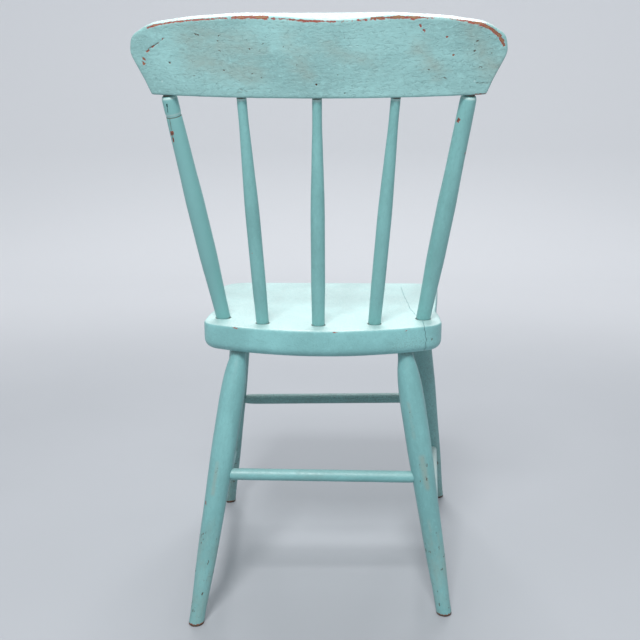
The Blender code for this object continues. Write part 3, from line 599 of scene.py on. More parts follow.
def old_paint(name, topcoat, mottling, brushing, wrinkling, wrinkle_light_and_shade=0.3, pitting=0.655):
    """Brushed enamel over older coats: the marks kept on each corner, painted shade and highlights
    among them, say where each layer shows.
    """
    colours = bpy.context.scene.chair_colours
    topcoat, vermilion = tuple(topcoat), tuple(colours.vermilion)
    made, tree = new_material(name)
    grain = add(tree, "Attribute", attribute_name="grain").outputs["Vector"]
    wear_and_painted_light = add(tree, "Attribute", attribute_name="wear_and_painted_light")
    chips, thin, grime_and_shade = add(tree, "SeparateColor", {"Color": wear_and_painted_light.outputs["Color"]}).outputs
    chalk_and_highlight = wear_and_painted_light.outputs["Alpha"]

    def noise(scale, **settings):
        return fine(tree, grain, scale, **settings)

    def sum_of(first, second):
        return maths(tree, "ADD", first, second)

    def less(first, second):
        return maths(tree, "SUBTRACT", first, second)

    def times(first, second):
        return maths(tree, "MULTIPLY", first, second)

    cloud = noise(14.0, stretch=0.5, detail=5.0, rough=0.6)
    strokes = noise(260.0, stretch=0.08, rough=0.6, warp=0.3)
    wrinkles = noise(300.0, stretch=0.55, detail=7.0, rough=0.68, warp=0.8, shift=0.37)
    ragged = noise(520.0, stretch=0.6, detail=8.0, rough=0.75, warp=0.3, shift=0.71)
    specks = noise(700.0, stretch=0.8, detail=2.0, rough=0.5, shift=0.13)
    patches = noise(48.0, stretch=0.45, detail=8.0, rough=0.72, warp=0.4, shift=0.5)
    breaks = noise(130.0, stretch=0.6, detail=5.0, rough=0.6, warp=0.5, shift=0.9)
    pits = noise(190.0, detail=5.0, stretch=0.55, rough=0.6, warp=0.2, shift=0.27)

    # Topcoat, with its brush strokes, painted glints on its wrinkles' ridges and painted shade in
    # their hollows
    dark = tuple(c * 0.78 for c in topcoat)
    light = tuple(min(1.0, c * 1.16 + 0.012) for c in topcoat)
    swing = mottling * 4
    coat = blend(tree, span(tree, cloud, 0.35, 0.68, 0.5 - swing, 0.5 + swing), dark, light)
    coat = blend(tree, span(tree, strokes, 0.40, 0.66, 0.0, brushing * 2), coat, dark)
    coat = blend(tree, span(tree, wrinkles, 0.53, 0.66, 0.0, wrinkle_light_and_shade), coat, light)
    coat = blend(tree, span(tree, wrinkles, 0.46, 0.36, 0.0, wrinkle_light_and_shade), coat, dark)

    # Thin paint, and chalked paint with painted highlights
    thin_level = sum_of(thin, times(less(patches, 0.5), 1.2))
    coat = blend(tree, span(tree, thin_level, 0.22, 0.92, 0.0, 0.50), coat, tuple(colours.thin))
    chalk_and_highlight_level = times(chalk_and_highlight, span(tree, ragged, 0.30, 0.60, 0.45, 1.0))
    coat = blend(tree, chalk_and_highlight_level, coat, tuple(colours.chalk_and_highlight))

    # Chips through the older coats down to the wood
    broken = sum_of(times(ragged, 0.6), times(breaks, 0.4))
    chip_level = sum_of(chips, times(less(broken, 0.5), span(tree, chips, 0.02, 0.30, 0.0, 4.2)))
    under = ramp(tree, chip_level, (
        (0.435, tuple(colours.yellow)), (0.46, tuple(colours.orange)), (0.50, vermilion),
        (0.74, tuple(c * 0.7 for c in vermilion)), (0.88, tuple(colours.wood))))
    bare = span(tree, chip_level, 0.43, 0.47)
    colour = blend(tree, bare, coat, under)

    # Dirt in joints, cracks and pits, and painted shade in gaps, under the seat and over the front
    # legs and stretcher
    grime_and_shade_level = sum_of(grime_and_shade, times(less(specks, 0.5), 0.6))
    pitted = times(span(tree, pits, pitting, pitting + 0.045), span(tree, thin, 0.05, 0.5))
    grime_and_shade_level = maths(tree, "MAXIMUM", grime_and_shade_level, times(pitted, 0.8))
    grimed_and_shaded = span(tree, grime_and_shade_level, 0.25, 0.85, 0.0, 0.95)
    colour = blend(tree, grimed_and_shaded, colour, tuple(colours.grime_and_shade))

    rough = sum_of(span(tree, cloud, 0.3, 0.7, 0.34, 0.48),
                   times(maths(tree, "MAXIMUM", bare, grimed_and_shaded), 0.30))
    folds = maths(tree, "ABSOLUTE", less(wrinkles, 0.5))
    height = sum_of(times(strokes, 0.3), times(wrinkles, 1.1 * wrinkling))
    height = less(height, times(folds, 1.2 * wrinkling))
    height = less(less(height, times(bare, 0.55)), times(grimed_and_shaded, 0.3))
    bump = add(tree, "Bump", {"Height": height, "Strength": 0.7, "Distance": 0.0010})
    surface(tree, base_color=colour, roughness=rough, normal=bump.outputs[0])
    return made


def old_steel(name, colour):
    """Darkened, slightly rusty steel."""
    made, tree = new_material(name)
    place = add(tree, "TexCoord").outputs["Object"]
    rust = fine(tree, place, 900.0)
    shade = blend(tree, span(tree, rust, 0.42, 0.62), tuple(colour), RUST)
    bump = add(tree, "Bump", {"Height": rust, "Strength": 0.5, "Distance": 0.0002})
    surface(tree, base_color=shade, roughness=span(tree, rust, 0.3, 0.7, 0.45, 0.8),
            metallic=0.7, normal=bump.outputs[0])
    return made


def pale_ground(name, colour):
    """Plain pale ground with a faint unevenness, paler far away."""
    made, tree = new_material(name)
    place = add(tree, "TexCoord").outputs["Object"]
    cloud = fine(tree, place, 1.2, detail=3.0)
    shade = blend(tree, span(tree, cloud, 0.3, 0.7), tuple(c * 0.97 for c in colour), colour)
    away = add(tree, "VectorMath", {0: place}, operation="LENGTH").outputs["Value"]
    shade = blend(tree, span(tree, away, *FAR_AWAY), shade, FAR_FLOOR)
    surface(tree, base_color=shade, roughness=0.9)
    return made


# Turned pieces

def cad_corners(name):
    """Corners of a solid, each once."""
    return np.unique(places(frame["nodes"][name]).round(6), axis=0)


def bar_ends(corners):
    """Middles of the two end faces of a long round piece: the lower, left or rear one first."""
    middle = corners.mean(0)
    line = np.linalg.svd(corners - middle, full_matrices=False)[2][0]
    main = np.argmax(np.abs(line))
    line = line * np.sign(line[main]) * (1 if main == 2 else -1)
    reach = (corners - middle) @ line
    start = corners[reach < reach.min() + END_BAND].mean(0)
    if corners[:, 2].min() < END_BAND:
        start = corners[corners[:, 2] < END_BAND].mean(0)
    return start, corners[reach > reach.max() - END_BAND].mean(0)


def bar_rings(corners, start, end):
    """(Distance from start, radius) of each full ring of corners along a turned solid."""
    way = (end - start) / np.linalg.norm(end - start)
    along = (corners - start) @ way
    radius = np.linalg.norm(corners - start - np.outer(along, way), axis=1)
    order = np.argsort(along)
    groups = np.split(order, np.flatnonzero(np.diff(along[order]) > RING_BAND) + 1)
    rings = []
    for group in groups:
        by_radius = group[np.argsort(radius[group])]
        steps = np.flatnonzero(np.diff(radius[by_radius]) > STEP_APART) + 1
        found = [(along[part].mean(), radius[part].mean())
                 for part in np.split(by_radius, steps) if len(part) >= RING_CORNERS]
        if rings and len(found) > 1:
            found.sort(key=lambda ring: abs(ring[1] - rings[-1][1]))
        rings += found
    return rings


def flowing(rings, step):
    """Rings no further apart than step, on a curve through the given ones with no overshoot."""
    at = np.array([ring[0] for ring in rings])
    radius = np.array([ring[1] for ring in rings])
    for i in range(1, len(at)):
        at[i] = max(at[i], at[i - 1] + STEP_APART)
    slope = np.diff(radius) / np.diff(at)
    inner = np.array([2 * a * b / (a + b) if a * b > 0 else 0.0 for a, b in zip(slope, slope[1:])])
    tangent = np.concatenate(([slope[0]], inner, [slope[-1]]))
    found = []
    for i, width in enumerate(np.diff(at)):
        for share in np.arange(0, 1, 1 / max(1, round(width / step + 0.49))):
            s2, s3 = share * share, share ** 3
            curve = (2 * s3 - 3 * s2 + 1) * radius[i] + (3 * s2 - 2 * s3) * radius[i + 1]
            bend = (s3 - 2 * s2 + share) * tangent[i] + (s3 - s2) * tangent[i + 1]
            found.append((at[i] + share * width, curve + width * bend))
    return found + [(at[-1], radius[-1])]


def bar_frame(start, end):
    """Place and turn of a bar: its z runs along it, and its y looks to the back."""
    way = Vector(end - start).normalized()
    back = Vector((0, 1, 0))
    if abs(way.y) > 0.9:
        back = Vector((0, 0, 1))
    back = (back - way * way.dot(back)).normalized()
    across = back.cross(way)
    turned = Matrix((across, back, way)).transposed().to_4x4()
    turned.translation = Vector(start)
    return turned


def raised(name, rings, sides=16):
    """Round bar raised on a disc, with one extrusion for each ring."""
    fit = 3 / (2 + cos(2 * pi / sides))
    bpy.ops.object.select_all(action="DESELECT")
    bpy.ops.mesh.primitive_circle_add(
        vertices=sides, radius=rings[0][1] * fit, fill_type="NGON", location=(0, 0, rings[0][0]))
    piece = bpy.context.object
    piece.name = name
    bpy.ops.object.transform_apply(location=True)
    bpy.ops.object.mode_set(mode="EDIT")
    bpy.ops.mesh.select_all(action="SELECT")
    for (low, before), (high, after) in zip(rings, rings[1:]):
        bpy.ops.mesh.extrude_region_move(TRANSFORM_OT_translate={"value": (0, 0, high - low)})
        share = after / before
        bpy.ops.transform.resize(value=(share, share, 1), center_override=(0, 0, high))
    bpy.ops.mesh.select_all(action="SELECT")
    bpy.ops.mesh.normals_make_consistent(inside=False)
    bpy.ops.object.mode_set(mode="OBJECT")
    modify(piece, "SUBSURF", levels=2, render_levels=2)
    return piece


def turned_bar(name, shape=None):
    """Turned piece on the axis and through the rings of its solid."""
    sizes = bpy.context.scene.chair_sizes
    corners = cad_corners(name)
    start, end = bar_ends(corners)
    rings = bar_rings(corners, start, end)
    if shape:
        rings = shape(rings)
    piece = raised(name + "_turned", flowing(rings, sizes.ring_step))
    store_grain(piece, places(piece) + (0, 0, 0.9 * (len(name) + sum(map(ord, name)) % 7)))
    placed = bar_frame(start, end)
    piece.matrix_world = placed
    alone(piece)
    bpy.ops.object.transform_apply(location=True, rotation=True, scale=True)
    relief(piece, 0.05, sizes.hand_turning, (1, 1, 2.5))
    relief(piece, 0.006, sizes.brush_relief * 0.4, (1, 1, 4))
    return piece, placed, rings


def reach_along(points, placed):
    """Distance of each point from a bar's start, along the bar."""
    return (points - np.array(placed.translation)) @ np.array(placed.col[2][:3])


def on_bar(placed, radius, along, angle):
    """Point on a bar's surface; the angle runs from the back towards the sitter's left."""
    turn = radians(angle)
    return placed @ Vector((radius * sin(turn), radius * cos(turn), along))


def bar_marks(placed, radius, marks):
    """Marks on a bar: from (along, angle) to (along, angle), half width and strength."""
    return [(on_bar(placed, radius, a, b), on_bar(placed, radius, c, d), half, strength)
            for a, b, c, d, half, strength in marks]


def round_cutter(name, start, end, radius, sides=32):
    """Round cutter between two points."""
    start, end = Vector(start), Vector(end)
    bpy.ops.object.select_all(action="DESELECT")
    bpy.ops.mesh.primitive_cylinder_add(vertices=sides, radius=radius, depth=(end - start).length)
    cutter = bpy.context.object
    cutter.name = name
    cutter.rotation_mode = "QUATERNION"
    cutter.rotation_quaternion = (end - start).to_track_quat("Z", "Y")
    cutter.location = (start + end) / 2
    bpy.ops.object.transform_apply(location=True, rotation=True, scale=True)
    return cutter


def without_ring(rings):
    """Rings of a stile but for those of the ring turned below its head."""
    low, high = PLAIN_STRETCH
    return [ring for ring in rings if not low < ring[0] < high]


def post(name, paint):
    """Stile or spindle between the seat and the crest rail."""
    piece, placed, rings = turned_bar(name, without_ring if name == "stile_right" else None)
    if name == "stile_left":
        bored(piece, [
            crack_cutter(width, SLOT_REACH,
                         [on_bar(placed, POST_CRACK_RADIUS, *spot) for spot in path], False)
            for width, path in STILE_SLOT])
    points = places(piece)
    along = reach_along(points, placed)
    head = rings[-1][0] - CREST_SOCKET
    chips = worn(points, bar_marks(placed, POST_CHIP_RADIUS, BAR_CHIPS.get(name, ())))
    # Soiling at the foot and in cracks, and painted shade in the gap under the crest rail
    dirt_and_shade = [band(along, SEAT_SOCKET + FOOT_DIRT[0], *FOOT_DIRT[1:]),
            fade(along - head, *PAINTED_HEAD_GAP_SHADE),
            worn(points, bar_marks(placed, POST_CRACK_RADIUS, POST_CRACKS.get(name, ())))]
    # Painted highlight on the rounded rim under the head
    chalk_and_highlight = [band(along, head + PAINTED_RIM_HIGHLIGHT[0], *PAINTED_RIM_HIGHLIGHT[1:])]
    if name == "stile_left":
        # Painted shade under the ring, and a painted highlight on the collar above it
        dirt_and_shade.append(band(along, STILE_RING + PAINTED_RING_SHADE[0], *PAINTED_RING_SHADE[1:]))
        chalk_and_highlight.append(band(along, STILE_RING + PAINTED_RING_HIGHLIGHT[0], *PAINTED_RING_HIGHLIGHT[1:]))
    store_wear_and_painted_light(piece, chips, np.full(len(points), THIN["posts"]), np.max(dirt_and_shade, axis=0),
               np.max(chalk_and_highlight, axis=0))
    finish(piece, name, paint)
    return piece


def leg(name, paint):
    """Leg from its socket in the seat to the floor, with a worn sole."""
    sizes = bpy.context.scene.chair_sizes

    def with_foot(rings):
        kept = [ring for ring in rings if ring[0] > 0.02]
        return [(-0.010, sizes.foot_radius), (0.002, sizes.foot_radius)] + kept

    piece, placed, rings = turned_bar(name, with_foot)
    level_foot(piece, placed.translation, sizes.foot_edge)
    points = places(piece)
    height = points[:, 2]
    chips = np.maximum(
        worn(points, bar_marks(placed, LEG_CHIP_RADIUS, BAR_CHIPS.get(name, ()))),
        fade(height, *SOLE_CHIPS))
    streaks = LEG_STREAKS["strength"] * np.clip(
        (LEG_STREAKS["top"] - height) / LEG_STREAKS["length"],
        LEG_STREAKS["least"], LEG_STREAKS["most"])
    rubs = worn(points, bar_marks(placed, LEG_RUB_RADIUS, BAR_THIN.get(name, ())))
    # Soiling at the sole, and painted shade that the seat casts on the neck
    dirt_and_shade = np.maximum(fade(height, *SOLE_DIRT), fade(height, *PAINTED_NECK_SHADE))
    # Painted shade over the whole of a front leg
    if "front" in name:
        dirt_and_shade = np.maximum(dirt_and_shade, PAINTED_FRONT_LEG_SHADE)
    store_wear_and_painted_light(piece, chips, np.maximum(streaks, rubs), dirt_and_shade, np.zeros(len(points)))
    finish(piece, name, paint)
    return piece


def level_foot(piece, sole, edge):
    """Cuts a leg level just over the floor and lays its sole on it with a worn edge."""
    alone(piece)
    bpy.ops.object.mode_set(mode="EDIT")
    bpy.ops.mesh.select_all(action="SELECT")
    bpy.ops.mesh.bisect(plane_co=(0, 0, edge), plane_no=(0, 0, 1), use_fill=True, clear_inner=True)
    share = 1 - edge / bpy.context.scene.chair_sizes.foot_radius
    bpy.ops.mesh.extrude_region_move(TRANSFORM_OT_translate={"value": (0, 0, -edge)})
    bpy.ops.transform.resize(value=(share, share, 1), center_override=(sole[0], sole[1], 0))
    bpy.ops.mesh.select_all(action="SELECT")
    bpy.ops.mesh.normals_make_consistent(inside=False)
    bpy.ops.object.mode_set(mode="OBJECT")


def stretcher(name, paint):
    """Stretcher between two legs, with its shoulders pushed into them."""

    def pushed_in(rings):
        middle = rings[-1][0] / 2
        inner = [(at - SHOULDER_IN if at < middle else at + SHOULDER_IN, radius)
                 for at, radius in rings[1:-1]]
        return [rings[0], *inner, rings[-1]]

    piece, placed, rings = turned_bar(name, pushed_in)
    points = places(piece)
    along = reach_along(points, placed)
    ends = fade(np.minimum(along, rings[-1][0] - along), *STRETCHER_END_DIRT)
    # Painted shade over the whole front stretcher
    if name == "stretcher_front":
        ends = np.maximum(ends, PAINTED_FRONT_STRETCHER_SHADE)
    # Rubbed paint and a painted highlight on the faces that look up
    chalk_and_highlight = fade(directions(piece)[:, 2], *STRETCHER_TOP_RUB_AND_HIGHLIGHT, RUB_AND_HIGHLIGHT_BY_STRETCHER.get(name, LEAST_RUB_AND_HIGHLIGHT))
    store_wear_and_painted_light(piece, np.zeros(len(points)), np.full(len(points), THIN["stretchers"]), ends, chalk_and_highlight)
    finish(piece, name, paint)
    return piece


# Crest rail

def crest_matrix():
    tilt = Matrix.Rotation(-CREST_TILT, 4, "Y")
    return Matrix.Translation(CREST_PLACE) @ tilt @ Matrix.Rotation(-CREST_LEAN, 4, "X")


def crest_point(along, up, out=CREST_THICK / 2):
    """Point on the rear face of the bent board."""
    turn = along / CREST_BEND_RADIUS
    reach = CREST_BEND_RADIUS + out
    return crest_matrix() @ Vector((reach * sin(turn), reach * cos(turn) - CREST_BEND_RADIUS, up))


def crest_grain(points):
    """Places across, through and along the bent board."""
    flat = np.array(crest_matrix().inverted())
    local = points @ flat[:3, :3].T + flat[:3, 3]
    away = local[:, 1] + CREST_BEND_RADIUS
    along = np.arctan2(local[:, 0], away) * CREST_BEND_RADIUS
    out = np.hypot(local[:, 0], away) - CREST_BEND_RADIUS
    return np.stack([local[:, 2], out, along], axis=1)


def crest_marks(marks, out=CREST_THICK / 2):
    """Marks on the board: from (along, up) to (along, up), half width and strength."""
    return [(crest_point(a, b, out), crest_point(c, d, out), half, strength)
            for a, b, c, d, half, strength in marks]


def crest_rail(paint):
    """Bent board with chipped edges, cracks and brushed paint."""
    sizes = bpy.context.scene.chair_sizes
    solid = frame["nodes"]["crest_rail"]
    alone(solid)
    bpy.ops.object.duplicate()
    piece = bpy.context.object
    piece.name = "crest_board"
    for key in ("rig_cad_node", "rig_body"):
        if key in piece:
            del piece[key]
    piece.parent = None
    bpy.ops.object.mode_set(mode="EDIT")
    bpy.ops.mesh.select_all(action="SELECT")
    bpy.ops.mesh.remove_doubles(threshold=0.000005)
    bpy.ops.object.mode_set(mode="OBJECT")
    modify(piece, "REMESH", mode="VOXEL", voxel_size=sizes.crest_grid)
    modify(piece, "SMOOTH", factor=0.5, iterations=6)
    relief(piece, 0.030, sizes.brush_relief * 0.8, (1.6, 1, 1))
    relief(piece, 0.0036, sizes.brush_relief * 0.50, (1.5, 1, 0.9))
    points = places(piece)
    grain = crest_grain(points)
    store_grain(piece, grain)
    spread, strength = SCATTER
    around = [(a, b, c, d, spread * half, strength) for a, b, c, d, half, _ in CREST_CHIPS
              if hypot(c - a, d - b) > LONG_CHIP]
    brow = [(*here, *there, *BROW_WEAR) for here, there in zip(CREST_BROW, CREST_BROW[1:])]
    chips = worn(points, crest_marks([*CREST_CHIPS, *around])
                 + crest_marks(brow, -CREST_THICK / 2))
    thin = np.maximum(worn(points, crest_marks(CREST_THIN)), THIN["crest"])
    grime_and_shade = worn(points, crest_marks(CREST_CRACKS))
    # Rubbed paint and a painted highlight on the upward faces
    chalk_and_highlight = fade(directions(piece)[:, 2], *CREST_TOP_RUB_AND_HIGHLIGHT)
    depth = fade(chips, 0.4, 0.6, sizes.chip_depth) + fade(grime_and_shade, 0.4, 0.7, CRACK_DEPTH)
    move_corners(piece, points - directions(piece) * depth[:, None])
    store_wear_and_painted_light(piece, chips, thin, grime_and_shade, chalk_and_highlight)
    finish(piece, "crest_rail", paint)
    return piece


# Seat

def seat_board():
    """Plank from the outline's corners, each rounded to its radius."""
    corners = [*SEAT_CORNERS, *((-x, y, radius) for x, y, radius in reversed(SEAT_CORNERS))]
    bpy.ops.object.select_all(action="DESELECT")
    bpy.ops.mesh.primitive_circle_add(vertices=len(corners), radius=0.1, fill_type="NGON",
                                      location=(0, 0, 0))
    piece = bpy.context.object
    piece.name = "seat_plank"
    order = sorted(piece.data.vertices, key=lambda v: -atan2(v.co.x, v.co.y))
    by_angle = sorted(corners, key=lambda c: -atan2(c[0], c[1]))
    for vert, (x, y, _) in zip(order, by_angle):
        vert.co = (x, y, 0.0)
    for corner in corners:
        round_corner(piece, corners, corner)
    return piece


def round_corner(piece, corners, corner):
    """Bevels one corner of the flat outline to an arc."""
    i = corners.index(corner)
    place, radius = Vector(corner[:2]), corner[2]
    before = Vector(corners[i - 1][:2]) - place
    after = Vector(corners[(i + 1) % len(corners)][:2]) - place
    turn = pi - before.angle(after)
    pick(piece, "VERT", lambda vert: (vert.co.xy - place).length < SAME_PLACE)
    bpy.ops.mesh.bevel(offset_type="OFFSET", offset=radius * tan(turn / 2), segments=14,
                       affect="VERTICES", profile=0.5, clamp_overlap=False)
    bpy.ops.object.mode_set(mode="OBJECT")


def seat_sockets():
    """Cutters for the sockets of the posts and legs."""
    cutters = []
    for name in POSTS + LEGS:
        corners = cad_corners(name)
        low, high = bar_ends(corners)
        rings = bar_rings(corners, low, high)
        way = Vector(high - low).normalized()
        if name in POSTS:
            end, radius, before, after = Vector(low), rings[0][1], SOCKET_ROOM, SOCKET_DEPTH
        else:
            end, radius, before, after = Vector(high), rings[-1][1], SOCKET_DEPTH, SOCKET_ROOM
        cutters.append(round_cutter(
            "socket", end - way * before, end + way * after, radius + SOCKET_ROOM))
    return cutters


def seat(paint):
    """Plank seat with a dish, sockets and a split beside the right stile."""
    sizes = bpy.context.scene.chair_sizes
    piece = seat_board()
    alone(piece)
    bpy.ops.object.mode_set(mode="EDIT")
    bpy.ops.mesh.select_mode(type="FACE")
    bpy.ops.mesh.select_all(action="SELECT")
    bpy.ops.transform.translate(value=(0, 0, SEAT_TOP - SEAT_THICK))
    bpy.ops.mesh.extrude_region_move(TRANSFORM_OT_translate={"value": (0, 0, SEAT_THICK)})
    bpy.ops.mesh.select_all(action="SELECT")
    bpy.ops.mesh.normals_make_consistent(inside=False)
    bpy.ops.object.mode_set(mode="OBJECT")
    bevel_rim(piece, SEAT_TOP, SEAT_TOP_ROUND, 3)
    bevel_rim(piece, SEAT_TOP - SEAT_THICK, SEAT_UNDER_ROUND, 6)
    modify(piece, "REMESH", mode="VOXEL", voxel_size=sizes.seat_grid)
    modify(piece, "SMOOTH", factor=0.5, iterations=3)
    points = places(piece)
    away = np.hypot(points[:, 0] / DISH["half_width"],
                    (points[:, 1] - DISH["middle_y"]) / DISH["half_length"])
    hollow = np.clip(1 - away ** 2, 0, 1) ** 1.5 * DISH["depth"]
    points[:, 2] -= hollow * (points[:, 2] > SEAT_TOP - 0.003)
    move_corners(piece, points)
    relief(piece, 0.05, sizes.brush_relief * 1.2, (1, 2, 1))
    relief(piece, 0.006, sizes.brush_relief * 0.4, (1, 4, 1))
    bored(piece, [*seat_sockets(), crack_cutter(*TOP_SPLIT, True),
                  crack_cutter(*REAR_SPLIT, False)])
    points = places(piece)
    store_grain(piece, points[:, [0, 2, 1]])
    facing = directions(piece)[:, 2]
    # Painted shade on part of the rear edge
    dirt_and_shade = [worn(points, SEAT_SHADE) * (np.abs(facing) < 0.6)]
    for name in POSTS:
        low, high = bar_ends(cad_corners(name))
        foot = Vector(low) + Vector(high - low).normalized() * SEAT_SOCKET
        away = np.hypot(points[:, 0] - foot.x, points[:, 1] - foot.y)
        dirt_and_shade.append(fade(away - FOOT_RADIUS[name.split("_")[0]], *POST_FOOT_RING) * (facing > 0.3))
    rear = [(x, SEAT_REAR, z) for x, _, z in REAR_SPLIT[2]]
    top = TOP_SPLIT[2]
    dirt_and_shade.append(worn(points, [
        *((here, there, *REAR_SPLIT_DIRT) for here, there in zip(rear, rear[1:])),
        *((here, there, *TOP_SPLIT_DIRT) for here, there in zip(top, top[1:])), SEAT_DOT]))
    # The top's chalked paint is rubbed paint with a painted sheen
    store_wear_and_painted_light(piece, worn(points, SEAT_CHIPS), np.full(len(points), THIN["seat"]),
               np.max(dirt_and_shade, axis=0), fade(facing, *SEAT_TOP_RUB_AND_SHEEN))
    finish(piece, "seat", paint)
    return piece


def crack_cutter(width, reach, path, down):
    """Thin blade drawn along a path; it reaches down, or inwards from the rear face."""
    bpy.ops.object.select_all(action="DESELECT")
    bpy.ops.mesh.primitive_plane_add(size=1.0, location=(0, 0, 0))
    blade = bpy.context.object
    blade.name = "crack"
    for vert in blade.data.vertices:
        side, end = vert.co.x * width, vert.co.y * reach
        vert.co = Vector(path[0]) + (Vector((side, 0, end)) if down else Vector((side, end, 0)))
    bpy.ops.object.mode_set(mode="EDIT")
    bpy.ops.mesh.select_all(action="SELECT")
    for here, there in zip(path, path[1:]):
        bpy.ops.mesh.extrude_region_move(
            TRANSFORM_OT_translate={"value": Vector(there) - Vector(here)})
    bpy.ops.mesh.select_all(action="SELECT")
    bpy.ops.mesh.normals_make_consistent(inside=False)
    bpy.ops.object.mode_set(mode="OBJECT")
    return blade


def bevel_rim(piece, height, amount, segments):
    """Rounds the edges round the flat face at a height."""
    corners = piece.data.vertices
    pick(piece, "EDGE",
         lambda edge: all(abs(corners[v].co.z - height) < SAME_PLACE for v in edge.vertices))
    bpy.ops.mesh.bevel(offset=amount, segments=segments, affect="EDGES", profile=0.5)
    bpy.ops.object.mode_set(mode="OBJECT")


# Operators

class CHAIR_OT_crest_rail(bpy.types.Operator):
    """Make the crest rail"""
    bl_idname = "chair.crest_rail"
    bl_label = "Crest rail"

    def execute(self, context):
        crest_rail(old_paint("crest_paint", context.scene.chair_colours.crest,
                             mottling=0.09, brushing=0.12, wrinkling=1.1, wrinkle_light_and_shade=0.6))
        return {"FINISHED"}


class CHAIR_OT_posts(bpy.types.Operator):
    """Make the two stiles and the three spindles"""
    bl_idname = "chair.posts"
    bl_label = "Stiles and spindles"

    def execute(self, context):
        paint = old_paint("post_paint", context.scene.chair_colours.posts,
                          mottling=0.06, brushing=0.06, wrinkling=0.5)
        for name in POSTS:
            post(name, paint)
        return {"FINISHED"}


class CHAIR_OT_seat(bpy.types.Operator):
    """Make the plank seat"""
    bl_idname = "chair.seat"
    bl_label = "Seat"

    def execute(self, context):
        seat(old_paint("seat_paint", context.scene.chair_colours.seat,
                       mottling=0.07, brushing=0.06, wrinkling=0.6))
        return {"FINISHED"}


class CHAIR_OT_legs(bpy.types.Operator):
    """Make the four legs and the four stretchers"""
    bl_idname = "chair.legs"
    bl_label = "Legs and stretchers"

    def execute(self, context):
        paint = old_paint("leg_paint", context.scene.chair_colours.legs,
                          mottling=0.07, brushing=0.10, wrinkling=0.5, wrinkle_light_and_shade=0.4, pitting=0.62)
        for name in LEGS:
            leg(name, paint)
        for name in STRETCHERS:
            stretcher(name, paint)
        return {"FINISHED"}


class CHAIR_OT_brads(bpy.types.Operator):
    """Darken the brads"""
    bl_idname = "chair.brads"
    bl_label = "Brads"

    def execute(self, context):
        steel = old_steel("old_steel", context.scene.chair_colours.steel)
        for name in BRADS:
            slots = frame["nodes"][name].data.materials
            slots.clear()
            slots.append(bpy.data.materials["crest_paint"] if name in PAINTED_BRADS else steel)
        return {"FINISHED"}


class CHAIR_OT_stage(bpy.types.Operator):
    """Lay the floor, hang the lights and place the camera"""
    bl_idname = "chair.stage"
    bl_label = "Stage"

    def execute(self, context):
        stage = context.scene.chair_stage
        ground(context.scene.chair_colours.floor)
        view_camera(stage)
        lights(stage)
        context.scene.view_settings.view_transform = "Standard"
        return {"FINISHED"}


def ground(colour):
    """Floor that curves up into a backdrop before the chair's front."""
    bpy.ops.object.select_all(action="DESELECT")
    bpy.ops.mesh.primitive_plane_add(size=FLOOR_SIZE, location=(0, FLOOR_SHIFT, 0))
    floor = bpy.context.object
    floor.name = "floor"
    bpy.ops.object.transform_apply(location=True)

    def at_wall(edge):
        places_of = [floor.data.vertices[v].co for v in edge.vertices]
        return all(p.y < WALL_Y + 0.1 and p.z < 0.1 for p in places_of)

    pick(floor, "EDGE", at_wall)
    bpy.ops.mesh.extrude_region_move(TRANSFORM_OT_translate={"value": (0, 0, WALL_HEIGHT)})
    pick(floor, "EDGE", at_wall)
    bpy.ops.mesh.bevel(offset=WALL_BEND, segments=16, affect="EDGES")
    bpy.ops.object.mode_set(mode="OBJECT")
    bpy.ops.object.shade_smooth()
    floor.data.materials.append(pale_ground("pale_ground", tuple(colour)))


def view_camera(stage):
    """Camera at the photograph's place, behind the chair."""
    ahead = Vector((sin(stage.turn) * cos(stage.dip), -cos(stage.turn) * cos(stage.dip),
                    -sin(stage.dip)))
    right = ahead.cross(Vector((0, 0, 1))).normalized()
    up = right.cross(ahead)
    right, up = (right * cos(stage.roll) + up * sin(stage.roll),
                 up * cos(stage.roll) - right * sin(stage.roll))
    placed = Matrix((right, up, -ahead)).transposed().to_4x4()
    placed.translation = stage.camera
    bpy.ops.object.camera_add()
    camera = bpy.context.object
    camera.name = "view"
    camera.matrix_world = placed
    camera.data.lens = stage.lens
    camera.data.sensor_width = 36
    bpy.context.scene.camera = camera


def soft_light(name, place, aim, size, power):
    bpy.ops.object.light_add(type="AREA", location=place)
    lamp = bpy.context.object
    lamp.name = name
    lamp.rotation_euler = (Vector(aim) - Vector(place)).to_track_quat("-Z", "Y").to_euler()
    lamp.data.size = size
    lamp.data.energy = power


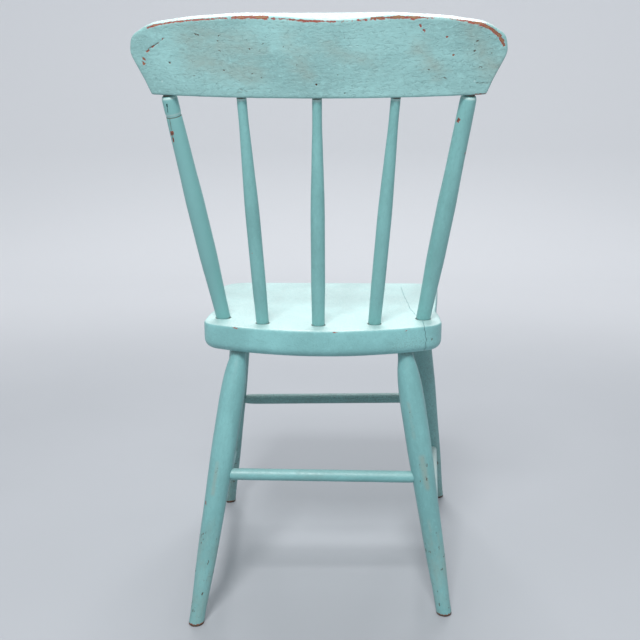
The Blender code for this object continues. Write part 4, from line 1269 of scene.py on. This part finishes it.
def lights(stage):
    """Soft key behind the chair, soft top light before it, and even light all round."""
    soft_light("key", *KEY_LAMP, stage.key)
    soft_light("top", *TOP_LAMP, stage.top)
    world = bpy.data.worlds.new("even_light")
    bpy.context.scene.world = world
    world.use_nodes = True
    tree = world.node_tree
    back = tree.nodes["Background"]
    back.inputs[0].default_value = SKY_TINT
    back.inputs[1].default_value = stage.fill
    far = add(tree, "Background", {"Color": FAR_TINT, "Strength": 1.0})
    ray = add(tree, "LightPath").outputs
    seen = maths(tree, "MAXIMUM", ray["Is Camera Ray"],
                 maths(tree, "MAXIMUM", ray["Is Glossy Ray"], ray["Is Transmission Ray"]))
    mixed = add(tree, "MixShader", {0: seen, 1: back.outputs[0], 2: far.outputs[0]})
    tree.links.new(mixed.outputs[0], tree.nodes["World Output"].inputs[0])


class CHAIR_PT_panel(bpy.types.Panel):
    """Lists the steps that build the chair"""
    bl_idname = "CHAIR_PT_panel"
    bl_label = "Chair"
    bl_space_type = "VIEW_3D"
    bl_region_type = "UI"
    bl_category = "Chair"

    def draw(self, context):
        for step in STEPS:
            self.layout.operator(step.bl_idname)
        for group in ("chair_sizes", "chair_colours", "chair_stage"):
            box = self.layout.box()
            values = getattr(context.scene, group)
            for key in values.bl_rna.properties.keys():
                if key not in ("rna_type", "name"):
                    box.prop(values, key)


STEPS = (
    CHAIR_OT_crest_rail, CHAIR_OT_posts, CHAIR_OT_seat, CHAIR_OT_legs, CHAIR_OT_brads,
    CHAIR_OT_stage,
)
CLASSES = (ChairSizes, ChairColours, ChairStage, *STEPS, CHAIR_PT_panel)


def register():
    for cls in CLASSES:
        bpy.utils.register_class(cls)
    bpy.types.Scene.chair_sizes = bpy.props.PointerProperty(type=ChairSizes)
    bpy.types.Scene.chair_colours = bpy.props.PointerProperty(type=ChairColours)
    bpy.types.Scene.chair_stage = bpy.props.PointerProperty(type=ChairStage)


def unregister():
    for key in ("chair_sizes", "chair_colours", "chair_stage"):
        delattr(bpy.types.Scene, key)
    for cls in reversed(CLASSES):
        bpy.utils.unregister_class(cls)


def main():
    register()
    bpy.ops.chair.crest_rail()
    bpy.ops.chair.posts()
    bpy.ops.chair.seat()
    bpy.ops.chair.legs()
    bpy.ops.chair.brads()
    bpy.ops.chair.stage()
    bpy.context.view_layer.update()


if __name__ == "__main__":
    main()
